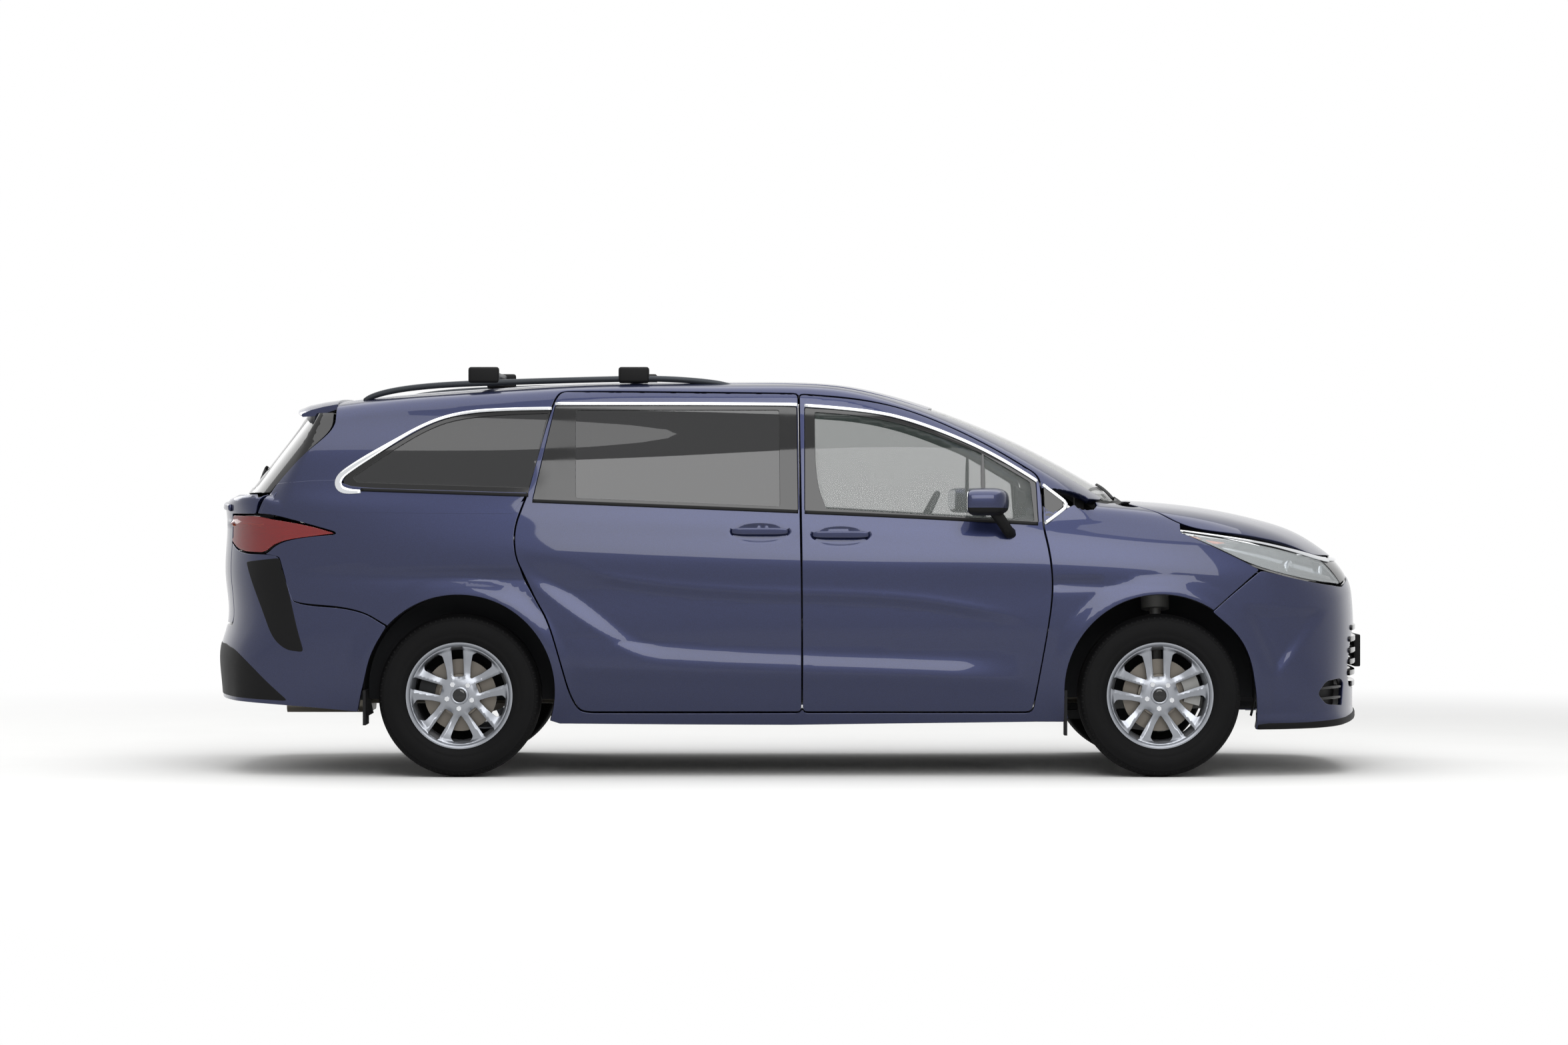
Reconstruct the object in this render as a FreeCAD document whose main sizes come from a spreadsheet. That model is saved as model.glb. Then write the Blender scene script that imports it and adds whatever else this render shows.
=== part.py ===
"""A seven-seat minivan: unitary body with hinged front doors, bonnet and tailgate, sliding side
doors, glazing, seats, power unit, steered front wheels on struts and rear wheels on an axle.

X points to the front of the car, Y to its left side and Z up. The ground is at Z 0 and the origin is
under the middle of the car. All sizes are in millimetres.
"""
import FreeCAD
import Part

import math
import os

from FreeCAD import Placement, Rotation, Vector

doc = FreeCAD.newDocument("minivan")

# Driving dimensions, kept in the spreadsheet
SIZES = {
    "hub_front_x": 1612.5,      # front axle, ahead of the origin
    "wheelbase": 3061,
    "hub_height": 356,
    "track_half": 850,          # from the middle of the car to a wheel's centre plane
    "arch_radius": 419,
    "arch_rise": 25,            # centre of the arch above the hub
    "arch_depth": 330,          # from a front wheel's centre plane inwards to the liner's wall
    "arch_depth_rear": 150,
    "liner_radius": 445,        # front arch behind its lip, where the steered tyre turns
    "lip_depth": 30,            # of the front arch's lip from the wheel's centre plane outwards
    "liner_wall": 5,
    "tyre_radius": 356,
    "tyre_width": 235,
    "bead_radius": 218,
    "rim_radius": 233,          # over the rim's flange
    "rim_half_width": 95,
    "barrel_radius": 193,       # inside of the rim's well
    "seat_radius": 207,         # inside of the rim behind its spokes
    "wheel_face": 72,           # outer face of the hub from the wheel's centre plane
    "hub_face": 44,             # where wheel and brake disc meet
    "spoke_pairs": 5,
    "slot_width": 47,           # between the two spokes of a pair
    "window_radius": 203,       # outer edge of the openings between spokes
    "spindle_radius": 30,
    "bearing_gap": 0.3,
    "disc_radius": 158,
    "disc_hat": 92,
    "disc_wall": 25,
    "disc_place": -20,          # inner face of the brake disc from the wheel's centre plane
    "run_gap": 6,               # between pieces that move past each other
    "kingpin_low_y": 770,
    "kingpin_low_z": 205,
    "kingpin_top_y": 640,
    "kingpin_top_z": 850,
    "strut_radius": 25,
    "rod_radius": 12,
    "spring_radius": 62,
    "ball_joint_z": 214,
    "roof_wall": 35,
    "side_wall": 60,
    "pane_wall": 5,
    "pane_depth": 6,            # outer face of a pane under the body's surface
    "pane_gap": 0.3,
    "shut_gap": 7,              # between a door, lid or panel and its neighbour
    "pin_radius": 3,            # hinge pins
    "pin_gap": 0.3,
    "knuckle_radius": 6.5,      # of a hinge's ring round its pin
    "door_hinge_x": 1095,
    "door_hinge_y": 976,
    "door_hinge_low_z": 620,
    "door_hinge_high_z": 820,
    "hood_hinge_x": 1478,
    "hood_hinge_z": 1165,
    "hood_hinge_y": 650,
    "gate_hinge_x": -1975,
    "gate_hinge_z": 1638,
    "gate_hinge_y": 450,
    "cabin_floor_z": 370,
    "floor_wall": 40,
    "axle_floor_z": 490,        # cabin floor over the rear axle
    "firewall_x": 1250,
    "recess_half": 770,         # half width of the space under the floor, between the sills
    "roof_split": 630,          # half width of the roof panel
    "door_seam_x": 45,          # between front door and sliding door
    "rail_y": 640,
    "rail_width": 34,
    "bar_front_x": -695,
    "bar_rear_x": -1360,
    "steering_x": 600,
    "steering_y": 370,
    "steering_z": 1075,
    "steering_tilt": 27,        # degrees of the wheel's plane from the vertical
    "steering_radius": 182,
    "engine_x": 1400,           # rear face of the power unit
    "engine_length": 560,
    "engine_width": 820,
    "engine_height": 520,
    "subframe_z": 225,
    "subframe_wall": 50,
    "tank_length": 620,
    "tank_width": 700,
    "tank_height": 125,
    "tank_x": -620,
    "pipe_radius": 25,
    "pipe_y": 450,
    "pipe_z": 286,
    "slat_count": 6,
    "slat_pitch": 50,
    "slat_height": 24,
    "slat_low_z": 380,          # lower edge of the lowest slat
    "plate_width": 306,
    "plate_height": 146,
    "plate_low_z": 453,
    "plate_x": 2587,
    "trough_width": 42,         # of the wiper trough behind the hood's rear edge
    "handle_depth": 16,
    "flare": 11,                # how far an arch's flare stands out of the side
    "flare_width": 44,
}
sheet = doc.addObject("Spreadsheet::Sheet", "sizes")
for row, (alias, value) in enumerate(SIZES.items(), start=1):
    sheet.set(f"A{row}", alias)
    sheet.set(f"B{row}", str(value))
    sheet.setAlias(f"B{row}", alias)
doc.recompute()


class Sizes:
    """Reads a driving dimension from the spreadsheet by its alias."""

    def __getattr__(self, alias):
        return float(sheet.get(alias))


S = Sizes()
HUB_REAR_X = S.hub_front_x - S.wheelbase
ARCH_Z = S.hub_height + S.arch_rise
FAR = 4000.0                    # longer than any piece

# Side view of the body at its middle, from the front lip over the roof to the tail and back below.
# Columns: name, x, z, bulge of the run to the next point, plan curve and its share,
# crown curve and its share, whether the inner face of the wall follows the point
PROFILE = (
    ("lip", 2553, 100, 0, "nose", 1, "hood", 0, 1),
    ("nose_low", 2540, 330, 0, "nose", 1, "hood", 0, 1),
    ("nose_mid", 2538, 760, 8, "nose", 1, "hood", 0.3, 1),
    ("nose_top", 2512, 905, 6, "nose", 1, "hood", 0.6, 1),
    ("hood_front", 2450, 960, 22, "nose", 1, "hood", 1.5, 1),
    ("hood_mid", 2130, 1119, 18, "nose", 0.3, "hood", 1.3, 1),
    ("cowl", 1500, 1208, 28, "screen", 1, "hood", 0.5, 1),
    ("header", 650, 1640, 16, "screen", 0.6, "roof", 0.6, 1),
    ("roof_front", 250, 1726, 42, "screen", 0, "roof", 1, 1),
    ("roof_rear", -1900, 1668, 4, "screen", 0, "roof", 1, 1),
    ("spoiler", -2262, 1612, 0, "tail", 0.6, "roof", 0.7, 0),
    ("glass_top", -2200, 1568, -4, "tail", 0.6, "roof", 0.68, 1),
    ("glass_low", -2455, 1236, 0, "tail", 0.9, "hood", 0.2, 1),
    ("ledge", -2565, 1190, 0, "tail", 1, "hood", 0.2, 0),
    ("gate_up", -2545, 1120, 0, "tail", 1, "hood", 0, 1),
    ("gate_low", -2545, 650, -10, "tail", 1, "hood", 0, 1),
    ("bumper_top", -2587, 560, 0, "tail", 1, "hood", 0, 1),
    ("bumper_low", -2575, 370, 0, "tail", 1, "hood", 0, 1),
    ("tail_low", -1895, 100, 0, "tail", 1, "hood", 0, 1),
)

# Lower edge of the body from the front lip to the tail, x and z
UNDERSIDE = ((2800, 205), (2040, 205), (1180, 222), (-1020, 230), (-1880, 285), (-2440, 318),
             (-2800, 318), (-2800, 0), (2800, 0))

# How far the side view draws in towards the sides of the car, at each distance from its middle:
# nose, screen and tail move along X, hood and roof drop
CURVES = {
    "half": (0, 400, 640, 760, 850, 930, 1010),
    "nose": (0, 25, 85, 150, 235, 360, 570),
    "screen": (0, 35, 88, 125, 165, 215, 280),
    "tail": (0, 25, 75, 130, 200, 300, 460),
    "hood": (0, 8, 24, 42, 75, 135, 240),
    "roof": (0, 6, 18, 45, 110, 210, 320),
}

# Half widths of the body at stations along X, at the heights in SIDE_HEIGHTS
# Columns: x, sill_low, sill, crease, waist, shoulder, belt, cant
SIDE_STATIONS = (
    (-2640, 600, 650, 700, 730, 715, 690, 600),
    (-2300, 790, 840, 885, 905, 893, 862, 705),
    (-1950, 860, 905, 955, 975, 965, 922, 745),
    (-1450, 885, 925, 985, 997, 985, 945, 765),
    (-600, 885, 925, 978, 992, 978, 948, 775),
    (300, 885, 925, 972, 988, 972, 940, 770),
    (1100, 885, 925, 970, 985, 968, 925, 735),
    (1600, 880, 925, 975, 988, 960, 905, 700),
    (2050, 850, 900, 940, 950, 915, 860, 650),
    (2350, 770, 820, 860, 870, 840, 790, 600),
    (2640, 600, 640, 680, 690, 660, 620, 450),
)
BELT_Z = 1165.0
BELT_SLOPE = -0.041
SIDE_HEIGHTS = (150, 270, 480, 840, 1040, None, 1640)
SIDE_BULGES = (0, 6, 10, 8, 4, 12)
SIDE_WALL_SHARE = (1, 1, 1, 1, 1, 0.85, 0.65)
CANT_TOP_Z = 1800.0
CANT_LEAN = 45.0


def run(start, end, bulge, normal):
    """A line, or an arc that stands out from it by bulge."""
    if abs(bulge) < 1e-6:
        return Part.LineSegment(start, end).toShape()
    side = normal.cross(end - start).normalize()
    return Part.Arc(start, (start + end) * 0.5 + side * bulge, end).toShape()


def inward(points, distance):
    """Each point of a closed XZ outline moved in by distance, square to its two runs."""
    moved = []
    for k, here in enumerate(points):
        before = (here - points[k - 1]).normalize()
        after = (points[(k + 1) % len(points)] - here).normalize()
        square = Vector(0, 1, 0).cross(before + after).normalize()
        reach = distance / max(0.5, square.dot(Vector(0, 1, 0).cross(after)))
        moved.append(here - square * reach)
    return moved


def envelope(inset=0.0):
    """The body as its side view swept across the car: it draws in and drops towards the sides."""
    rows = [r for r in PROFILE if inset < S.roof_wall / 2 or r[8]]
    wires = []
    for place in range(1 - len(CURVES["half"]), len(CURVES["half"])):
        k = abs(place)
        y = math.copysign(CURVES["half"][k], place)
        points = []
        for _, x, z, _, plan, plan_share, crown, crown_share, _ in rows:
            along = math.copysign(CURVES[plan][k] * plan_share, x)
            points.append(Vector(x - along, y, z - CURVES[crown][k] * crown_share))
        if inset:
            points = inward(points, inset)
        ends = points[1:] + points[:1]
        wires.append(Part.Wire([run(p, q, r[3], Vector(0, 1, 0))
                                for p, q, r in zip(points, ends, rows)]))
    return Part.makeLoft(wires, True, False)


def side_slab(inset=0.0, even=False):
    """The body as its cross section swept along the car; inset is the wall, thinner above."""
    wires = []
    for x, *halves in SIDE_STATIONS:
        heights = [z if z else BELT_Z + BELT_SLOPE * x for z in SIDE_HEIGHTS]
        right = [Vector(x, -(half - inset * (1 if even else share)), z)
                 for half, z, share in zip(halves, heights, SIDE_WALL_SHARE)]
        right.append(Vector(x, right[-1].y + CANT_LEAN, CANT_TOP_Z))
        left = [Vector(x, -p.y, p.z) for p in right]
        bulges = SIDE_BULGES + (0,)
        edges = [run(right[k], right[k + 1], bulges[k], Vector(1, 0, 0)) for k in range(7)]
        edges.append(run(right[-1], left[-1], 0, Vector(1, 0, 0)))
        edges += [run(left[k + 1], left[k], bulges[k], Vector(1, 0, 0)) for k in range(6, -1, -1)]
        edges.append(run(left[0], right[0], 0, Vector(1, 0, 0)))
        wires.append(Part.Wire(edges))
    return Part.makeLoft(wires, True, False)


def box(x0, x1, y0, y1, z0, z1):
    return Part.makeBox(x1 - x0, y1 - y0, z1 - z0, Vector(x0, y0, z0))


def outline(points, normal):
    """A closed face from (a, b) or (a, b, bulge) points in the plane across normal."""
    place = {"y": lambda a, b: Vector(a, 0, b), "z": lambda a, b: Vector(a, b, 0),
             "x": lambda a, b: Vector(0, a, b)}[normal]
    axis = {"y": Vector(0, 1, 0), "z": Vector(0, 0, 1), "x": Vector(1, 0, 0)}[normal]
    spots = [place(p[0], p[1]) for p in points]
    ends = spots[1:] + spots[:1]
    edges = [run(p, q, row[2] if len(row) > 2 else 0, axis)
             for p, q, row in zip(spots, ends, points)]
    return Part.Face(Part.Wire(edges))


def grown(face, distance):
    """The outline with its edge moved out, or in where distance is negative."""
    return face.makeOffset2D(distance, 2, False, False, False) if distance else face


def side_prism(points, low, high, grow=0.0):
    """An XZ outline extruded along Y from low to high."""
    face = grown(outline(points, "y"), grow)
    face.translate(Vector(0, low, 0))
    return face.extrude(Vector(0, high - low, 0))


def plan_prism(points, low, high, grow=0.0):
    """An XY outline extruded along Z from low to high."""
    face = grown(outline(points, "z"), grow)
    face.translate(Vector(0, 0, low))
    return face.extrude(Vector(0, 0, high - low))


def front_prism(points, low, high, grow=0.0):
    """A YZ outline extruded along X from low to high."""
    face = grown(outline(points, "x"), grow)
    face.translate(Vector(low, 0, 0))
    return face.extrude(Vector(high - low, 0, 0))


def mirrored(points):
    """A right-hand half outline in plan or from the front, given from its middle out, made whole."""
    return [*points, *[(x, -y) for x, y in reversed(points) if y]]


def other_side(shape):
    return shape.mirror(Vector(0, 0, 0), Vector(0, 1, 0))


def both_sides(shape):
    return Part.makeCompound([shape, other_side(shape)])


def solids(shape, least=20000.0):
    """The solids of a boolean's result, without its crumbs."""
    kept = [s for s in shape.Solids if s.Volume > least]
    return kept[0] if len(kept) == 1 else Part.makeCompound(kept)


NODES = {}


def node(name, shape):
    """A sub-part of the document whose shape is made from the sheet's sizes."""
    part = doc.addObject("Part::Feature", name)
    part.Label = name
    part.Shape = shape
    NODES[name] = part
    return part


# Body shell: outer form less the cabin, the engine bay and the space under the floor
outer = solids(envelope().common(side_slab()).cut(side_prism(UNDERSIDE, -FAR, FAR)))
inner = solids(envelope(S.roof_wall).common(side_slab(S.side_wall)))
floor_under = S.cabin_floor_z - S.floor_wall
axle_floor = box(HUB_REAR_X - 330, HUB_REAR_X + 380, -FAR, FAR, 0, S.axle_floor_z)
axle_space = box(HUB_REAR_X - 290, HUB_REAR_X + 340, -690, 690, 0, S.axle_floor_z - S.floor_wall)
cabin = inner.common(box(-FAR, S.firewall_x, -FAR, FAR, S.cabin_floor_z, FAR)).cut(axle_floor)
bay = inner.common(box(S.firewall_x + S.floor_wall, FAR, -FAR, FAR, floor_under, FAR))
bay_low = inner.common(box(S.firewall_x + S.floor_wall, FAR, -S.recess_half, S.recess_half, 0,
                           floor_under + 1))
recess = box(-2380, S.firewall_x + S.floor_wall + 1, -S.recess_half, S.recess_half, 0, floor_under)
shell = outer.cut([cabin, bay, bay_low, recess, axle_space])


def arch_drum(x, radius, low, high):
    return Part.makeCylinder(radius, high - low, Vector(x, low, ARCH_Z), Vector(0, 1, 0))


def front_arch(grow=0.0):
    """The space that a steered front wheel turns in, on the right."""
    radius = S.liner_radius + grow
    low = -(S.track_half + S.lip_depth)
    high = -(S.track_half - S.arch_depth) + grow
    drum = arch_drum(S.hub_front_x, radius, low, high)
    below = box(S.hub_front_x - radius, S.hub_front_x + radius, low, high, 0, ARCH_Z)
    return drum.fuse(below)


def rear_arch(grow=0.0):
    radius = S.arch_radius + grow
    high = -(S.track_half - S.arch_depth_rear) + grow
    drum = arch_drum(HUB_REAR_X, radius, -FAR / 2, high)
    return drum.fuse(box(HUB_REAR_X - radius, HUB_REAR_X + radius, -FAR / 2, high, 0, ARCH_Z))


front_lip = arch_drum(S.hub_front_x, S.arch_radius, -FAR / 2, -S.track_half)
lip_below = box(S.hub_front_x - S.arch_radius, S.hub_front_x + S.arch_radius, -FAR / 2,
                -S.track_half, 0, ARCH_Z)
arches = [front_arch(), front_lip.fuse(lip_below), rear_arch()]
shell = shell.cut([*arches, *[other_side(a) for a in arches]])

# Outlines of the panels in the side view, x and z
FRONT_DOOR = ((1052, 293), (1058, 324), (1131, 714), (1140, 853), (1127, 982), (1098, 1103),
              (1100, 1200), (1085, 1318), (841, 1463), (567, 1590), (343, 1652), (36, 1676),
              (46, 1165), (52, 776), (52, 293))
SLIDE_DOOR = ((18, 1676), (39, 1165), (45, 776), (45, 293), (-889, 293), (-930, 299), (-966, 372),
              (-997, 487), (-1054, 684), (-1109, 776), (-1162, 891), (-1199, 966), (-1205, 1082),
              (-1164, 1198), (-1151, 1229), (-1052, 1624), (-1015, 1672))
FRONT_WINDOW = ((101, 1604), (343, 1585), (567, 1532), (835, 1422), (1052, 1299), (1068, 1112),
                (151, 1160))
SLIDE_WINDOW = ((-950, 1613), (-44, 1613), (-44, 1170), (-943, 1207))
QUARTER_WINDOW = ((-1078, 1600), (-1168, 1245), (-1955, 1282), (-1491, 1575))
HEADLAMP = ((1704, 1075), (2047, 907), (2275, 853), (2450, 826), (2700, 826), (2700, 1115),
            (1704, 1115))
FRONT_BUMPER = ((1846, 732), (2047, 907), (2275, 853), (2450, 826), (2450, 1000), (2700, 1000),
                (2700, 100), (1290, 100), (1290, 331), (1700, 331))
FENDER = ((1066, 293), (1145, 714), (1154, 853), (1141, 982), (1112, 1112), (1216, 1187),
          (1500, 1212), (2100, 1212), (2100, 700), (1700, 331), (1291, 331), (1291, 100),
          (1100, 100), (1100, 293))
TAIL_LAMP = ((-1982, 1064), (-2343, 1144), (-2700, 1144), (-2700, 1032), (-2485, 1032),
             (-2420, 975), (-2280, 975))
REAR_BUMPER = ((-1759, 661), (-1890, 737), (-2167, 753), (-2187, 795), (-2238, 960),
               (-2280, 975), (-2420, 975), (-2485, 1032), (-2700, 1032), (-2700, 100),
               (-1700, 100))
GATE_TOP = ((-2005, 1850), (-2005, 1637), (-2008, 1528), (-2268, 1277), (-2343, 1144),
            (-2800, 1144), (-2800, 1850))
REAR_WINDOW = ((-560, 1552), (560, 1552), (690, 1252), (-690, 1252))
GRILLE = ((20, 650), (-420, 650), (-560, 600), (-635, 440), (-560, 372), (20, 372))
SIDE_VENT = ((-672, 400), (-700, 424), (-812, 414), (-850, 360), (-812, 310), (-690, 304))
GATE_HALF = 650.0
GATE_LOW_Z = 660.0

# Outlines in plan, x and y of the right half from the middle out
HOOD = ((1535, 0), (1530, -300), (1512, -560), (1475, -780), (1590, -842), (1704, -892),
        (1979, -862), (2230, -742), (2335, -640), (2425, -330), (2455, 0))
SCREEN = ((1478, 0), (1462, -300), (1425, -560), (1376, -700), (628, -612), (668, -300), (682, 0))
LAMP_INNER = 600.0
SIDE_DEPTH = 600.0


def side_tool(points, depth=SIDE_DEPTH, grow=0.0):
    return side_prism(points, -FAR / 2, -depth, grow)


skin_core = side_slab(S.side_wall)
shut_core = side_slab(S.side_wall + 1.6 * S.shut_gap)
pane_outer = side_slab(S.pane_depth, even=True)
pane_inner = side_slab(S.pane_depth + S.pane_wall, even=True)
glass_outer = envelope(S.pane_depth)
glass_inner = envelope(S.pane_depth + S.pane_wall)


def gate_tool(grow=0.0):
    """The space of the tailgate: full width above the belt, between the lamps below."""
    top = side_prism(GATE_TOP, -FAR / 2, FAR / 2, grow)
    half = GATE_HALF + grow
    low = box(-FAR, -2380, -half, half, GATE_LOW_Z - grow, 1150)
    return top.fuse(low)


def hood_tool(grow=0.0):
    return plan_prism(mirrored(HOOD), 850, 1400, grow)


def screen_tool(grow=0.0):
    return plan_prism(mirrored(SCREEN), 1165, 1850, grow)


def rear_window_tool(grow=0.0):
    return front_prism(REAR_WINDOW, -2700, -2100, grow)


def side_pane(points):
    """A pane that lies just under the body's surface in its opening, on the right."""
    return solids(pane_outer.common(side_tool(points, grow=-S.pane_gap)).cut(pane_inner))


left = shell
tailgate = solids(left.common(gate_tool()).cut(rear_window_tool()))
left = left.cut([gate_tool(S.shut_gap), screen_tool()])
hood = solids(left.common(hood_tool()))
left = left.cut(hood_tool(S.shut_gap))

right = left.common(box(-FAR, FAR, -FAR, 0, -FAR, FAR))
side = {}
for name, points, window in (("front_door", FRONT_DOOR, FRONT_WINDOW),
                             ("slide_door", SLIDE_DOOR, SLIDE_WINDOW)):
    panel = right.common(side_tool(points).cut(skin_core))
    side[name] = solids(panel.cut(side_tool(window)))
    right = right.cut(side_tool(points, grow=S.shut_gap).cut(shut_core))
right = right.cut(side_tool(QUARTER_WINDOW))
for name, tool in (("floor", box(-2400, S.firewall_x, -S.recess_half, 0, 200, 500)),
                   ("firewall", box(S.firewall_x, 1291, -S.recess_half, 0, 200, 1140)),
                   ("headlamp", side_tool(HEADLAMP, LAMP_INNER)),
                   ("front_bumper", side_prism(FRONT_BUMPER, -FAR / 2, 0)),
                   ("rear_bumper", side_prism(REAR_BUMPER, -FAR / 2, 0)),
                   ("tail_lamp", side_tool(TAIL_LAMP)),
                   ("fender", side_tool(FENDER, 780).cut(box(1000, 1160, -900, 0, 0, 372))),
                   ("roof", box(-2020, 900, -S.roof_split, 0, 1560, 1850)),
                   ("cowl", box(S.firewall_x - 1, 2000, -S.recess_half, 0, 1140, 1300))):
    side[name] = solids(right.common(tool))
    right = right.cut(tool)

# Flares round the arches, on the panels that each arch runs through
flare_slab = side_slab(-S.flare, even=True).cut(side_slab(20, even=True))


def flare(hub_x):
    """A band on the side round a wheel arch, on the right."""
    outer_drum = arch_drum(hub_x, S.arch_radius + S.flare_width, -FAR / 2, -S.track_half)
    below = box(hub_x - S.arch_radius, hub_x + S.arch_radius, -FAR / 2, 0, 0, ARCH_Z)
    band = outer_drum.cut([arch_drum(hub_x, S.arch_radius, -FAR / 2, 0), below])
    return band.common(flare_slab).common(box(-FAR, FAR, -FAR, 0, 300, FAR))


bumper_tool = side_prism(FRONT_BUMPER, -FAR / 2, 0)
front_flare = flare(S.hub_front_x)
side["front_bumper"] = side["front_bumper"].fuse(front_flare.common(bumper_tool))
side["fender"] = side["fender"].fuse(front_flare.cut(bumper_tool).common(side_tool(FENDER)))
rear_tool = side_prism(REAR_BUMPER, -FAR / 2, 0)
rear_flare = flare(HUB_REAR_X).cut(side_tool(SLIDE_DOOR, grow=S.shut_gap))
side["rear_bumper"] = side["rear_bumper"].fuse(rear_flare.common(rear_tool))
rear_flare = rear_flare.cut(rear_tool)

# Lower grille: slots between its slats, a vent beside it, and the bracket of the plate
slat_gap = S.slat_pitch - S.slat_height
slots = [box(2300, FAR, -FAR, FAR, S.slat_low_z + k * S.slat_pitch - slat_gap,
             S.slat_low_z + k * S.slat_pitch) for k in range(int(S.slat_count) + 1)]
grille_slots = front_prism(GRILLE, 2300, 2700).common(slots[0].fuse(slots[1:]))
vent = front_prism(SIDE_VENT, 2100, 2700).cut(box(2000, FAR, -FAR, 0, 354, 372))
plate_top = S.plate_low_z + S.plate_height
plate_back = box(2520, S.plate_x - 10, -S.plate_width / 3, 0, S.plate_low_z + 18, plate_top - 18)
plate = box(S.plate_x - 12, S.plate_x, -S.plate_width / 2, 0, S.plate_low_z, plate_top)
side["front_bumper"] = side["front_bumper"].cut([grille_slots, vent]).fuse([plate_back, plate])

# Door handles: a bar across an oval recess
handle_core = side_slab(S.handle_depth, even=True)
HANDLES = {"front_door": (76, 358, 1018, 1104), "slide_door": (-274, 4, 1032, 1118)}
for name, (x0, x1, z0, z1) in HANDLES.items():
    oval = Part.Ellipse(Vector((x0 + x1) / 2, (z0 + z1) / 2, 0), (x1 - x0) / 2, (z1 - z0) / 2)
    recess_face = Part.Face(Part.Wire(oval.toShape()))
    recess_face.rotate(Vector(0, 0, 0), Vector(1, 0, 0), 90)
    recess_face.translate(Vector(0, -FAR / 2, 0))
    pocket = recess_face.extrude(Vector(0, FAR / 2 - SIDE_DEPTH, 0)).cut(handle_core)
    middle_z = (z0 + z1) / 2
    pull = box(x0 + 18, x1 - 18, -997, -981, middle_z - 14, middle_z + 14)
    pull = pull.makeFillet(6, [e for e in pull.Edges if e.BoundBox.XLength > 100])
    feet = [box(x, x + 22, -985, -945, middle_z - 11, middle_z + 11) for x in (x0 + 24, x1 - 46)]
    side[name] = side[name].cut(pocket).fuse([pull, *feet])

pillar = shut_core.cut(side_slab(S.side_wall + 50)).common(envelope(S.roof_wall - 1))
pillar = pillar.common(box(S.door_seam_x - 95, S.door_seam_x + 85, -FAR, -600, 300, FAR))
post = side_slab(S.side_wall + 32).cut(side_slab(S.side_wall + 72))
post = post.common(box(S.door_hinge_x - 20, 1155, -FAR, -600, 300, 1110))


def ring(centre, axis, length, bore=True):
    """A hinge's knuckle round its pin, or the pin itself, centred on centre."""
    start = Vector(*centre) - Vector(*axis) * (length / 2)
    outside = Part.makeCylinder(S.knuckle_radius, length, start, Vector(*axis))
    if not bore:
        return Part.makeCylinder(S.pin_radius, length, start, Vector(*axis))
    return outside.cut(Part.makeCylinder(S.pin_radius + S.pin_gap, length, start, Vector(*axis)))


def plate(x, y, z, dx, dy, dz):
    """A box about a centre."""
    return box(x - dx / 2, x + dx / 2, y - dy / 2, y + dy / 2, z - dz / 2, z + dz / 2)


# Door hinges: leaves on the post, pins in pockets of the door's front edge
hinge_x = S.door_hinge_x
hinge_y = -S.door_hinge_y
leaves = []
for hinge_z in (S.door_hinge_low_z, S.door_hinge_high_z):
    centre = (hinge_x, hinge_y, hinge_z)
    arm = box(hinge_x - 4, hinge_x + 4, hinge_y + 5, hinge_y + 100, hinge_z - 18, hinge_z + 18)
    arm = arm.cut(Part.makeCylinder(S.knuckle_radius - 1, 36, Vector(hinge_x, hinge_y, hinge_z - 18)))
    leaves += [ring(centre, (0, 0, 1), 36), arm]
    pocket = box(hinge_x - 9, hinge_x + 70, hinge_y - 7.5, hinge_y + 90, hinge_z - 20, hinge_z + 20)
    side["front_door"] = side["front_door"].cut(pocket).fuse(ring(centre, (0, 0, 1), 44, False))
side["front_door"] = solids(side["front_door"])
runners = [box(x, x + 40, -900, -875, 280, 293) for x in (-60, -860)]
corner_room = Part.makeCylinder(20, 45, Vector(S.hood_hinge_x, -795, S.hood_hinge_z), Vector(0, 1, 0))
right = solids(right).cut(corner_room)
side["body_side"] = solids(right.fuse([solids(pillar), post, rear_flare, *leaves, *runners]))

# Hood hinges: arms under its rear edge, pins across slots in the cowl
gate_pins = []
hood_pins = []
for hand in (-1, 1):
    hood_at = (S.hood_hinge_x, hand * S.hood_hinge_y, S.hood_hinge_z)
    arm = plate(S.hood_hinge_x + 18, hood_at[1], hood_at[2] - 2, 26, 16, 8)
    hood = hood.fuse([ring(hood_at, (0, 1, 0), 16), arm])
    gate_at = (S.gate_hinge_x, hand * S.gate_hinge_y, S.gate_hinge_z)
    arm = plate(S.gate_hinge_x - 21, gate_at[1], gate_at[2] - 2, 30, 16, 8)
    tailgate = tailgate.fuse([ring(gate_at, (0, 1, 0), 16), arm])
hood = solids(hood)
tailgate = solids(tailgate)
hood_slot = box(S.hood_hinge_x - 11, 1540, -S.hood_hinge_y - 10, -S.hood_hinge_y + 10, 1120, 1230)
gate_slot = box(-2010, S.gate_hinge_x + 11, -S.gate_hinge_y - 10, -S.gate_hinge_y + 10, 1590, 1700)
hood_pin = ring((S.hood_hinge_x, -S.hood_hinge_y, S.hood_hinge_z), (0, 1, 0), 28, False)
gate_pin = ring((S.gate_hinge_x, -S.gate_hinge_y, S.gate_hinge_z), (0, 1, 0), 28, False)
side["roof"] = solids(side["roof"].cut(gate_slot).fuse(gate_pin))


def whole(right_half):
    """A right half and its mirror image joined into one piece."""
    return right_half.fuse(other_side(right_half))


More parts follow.
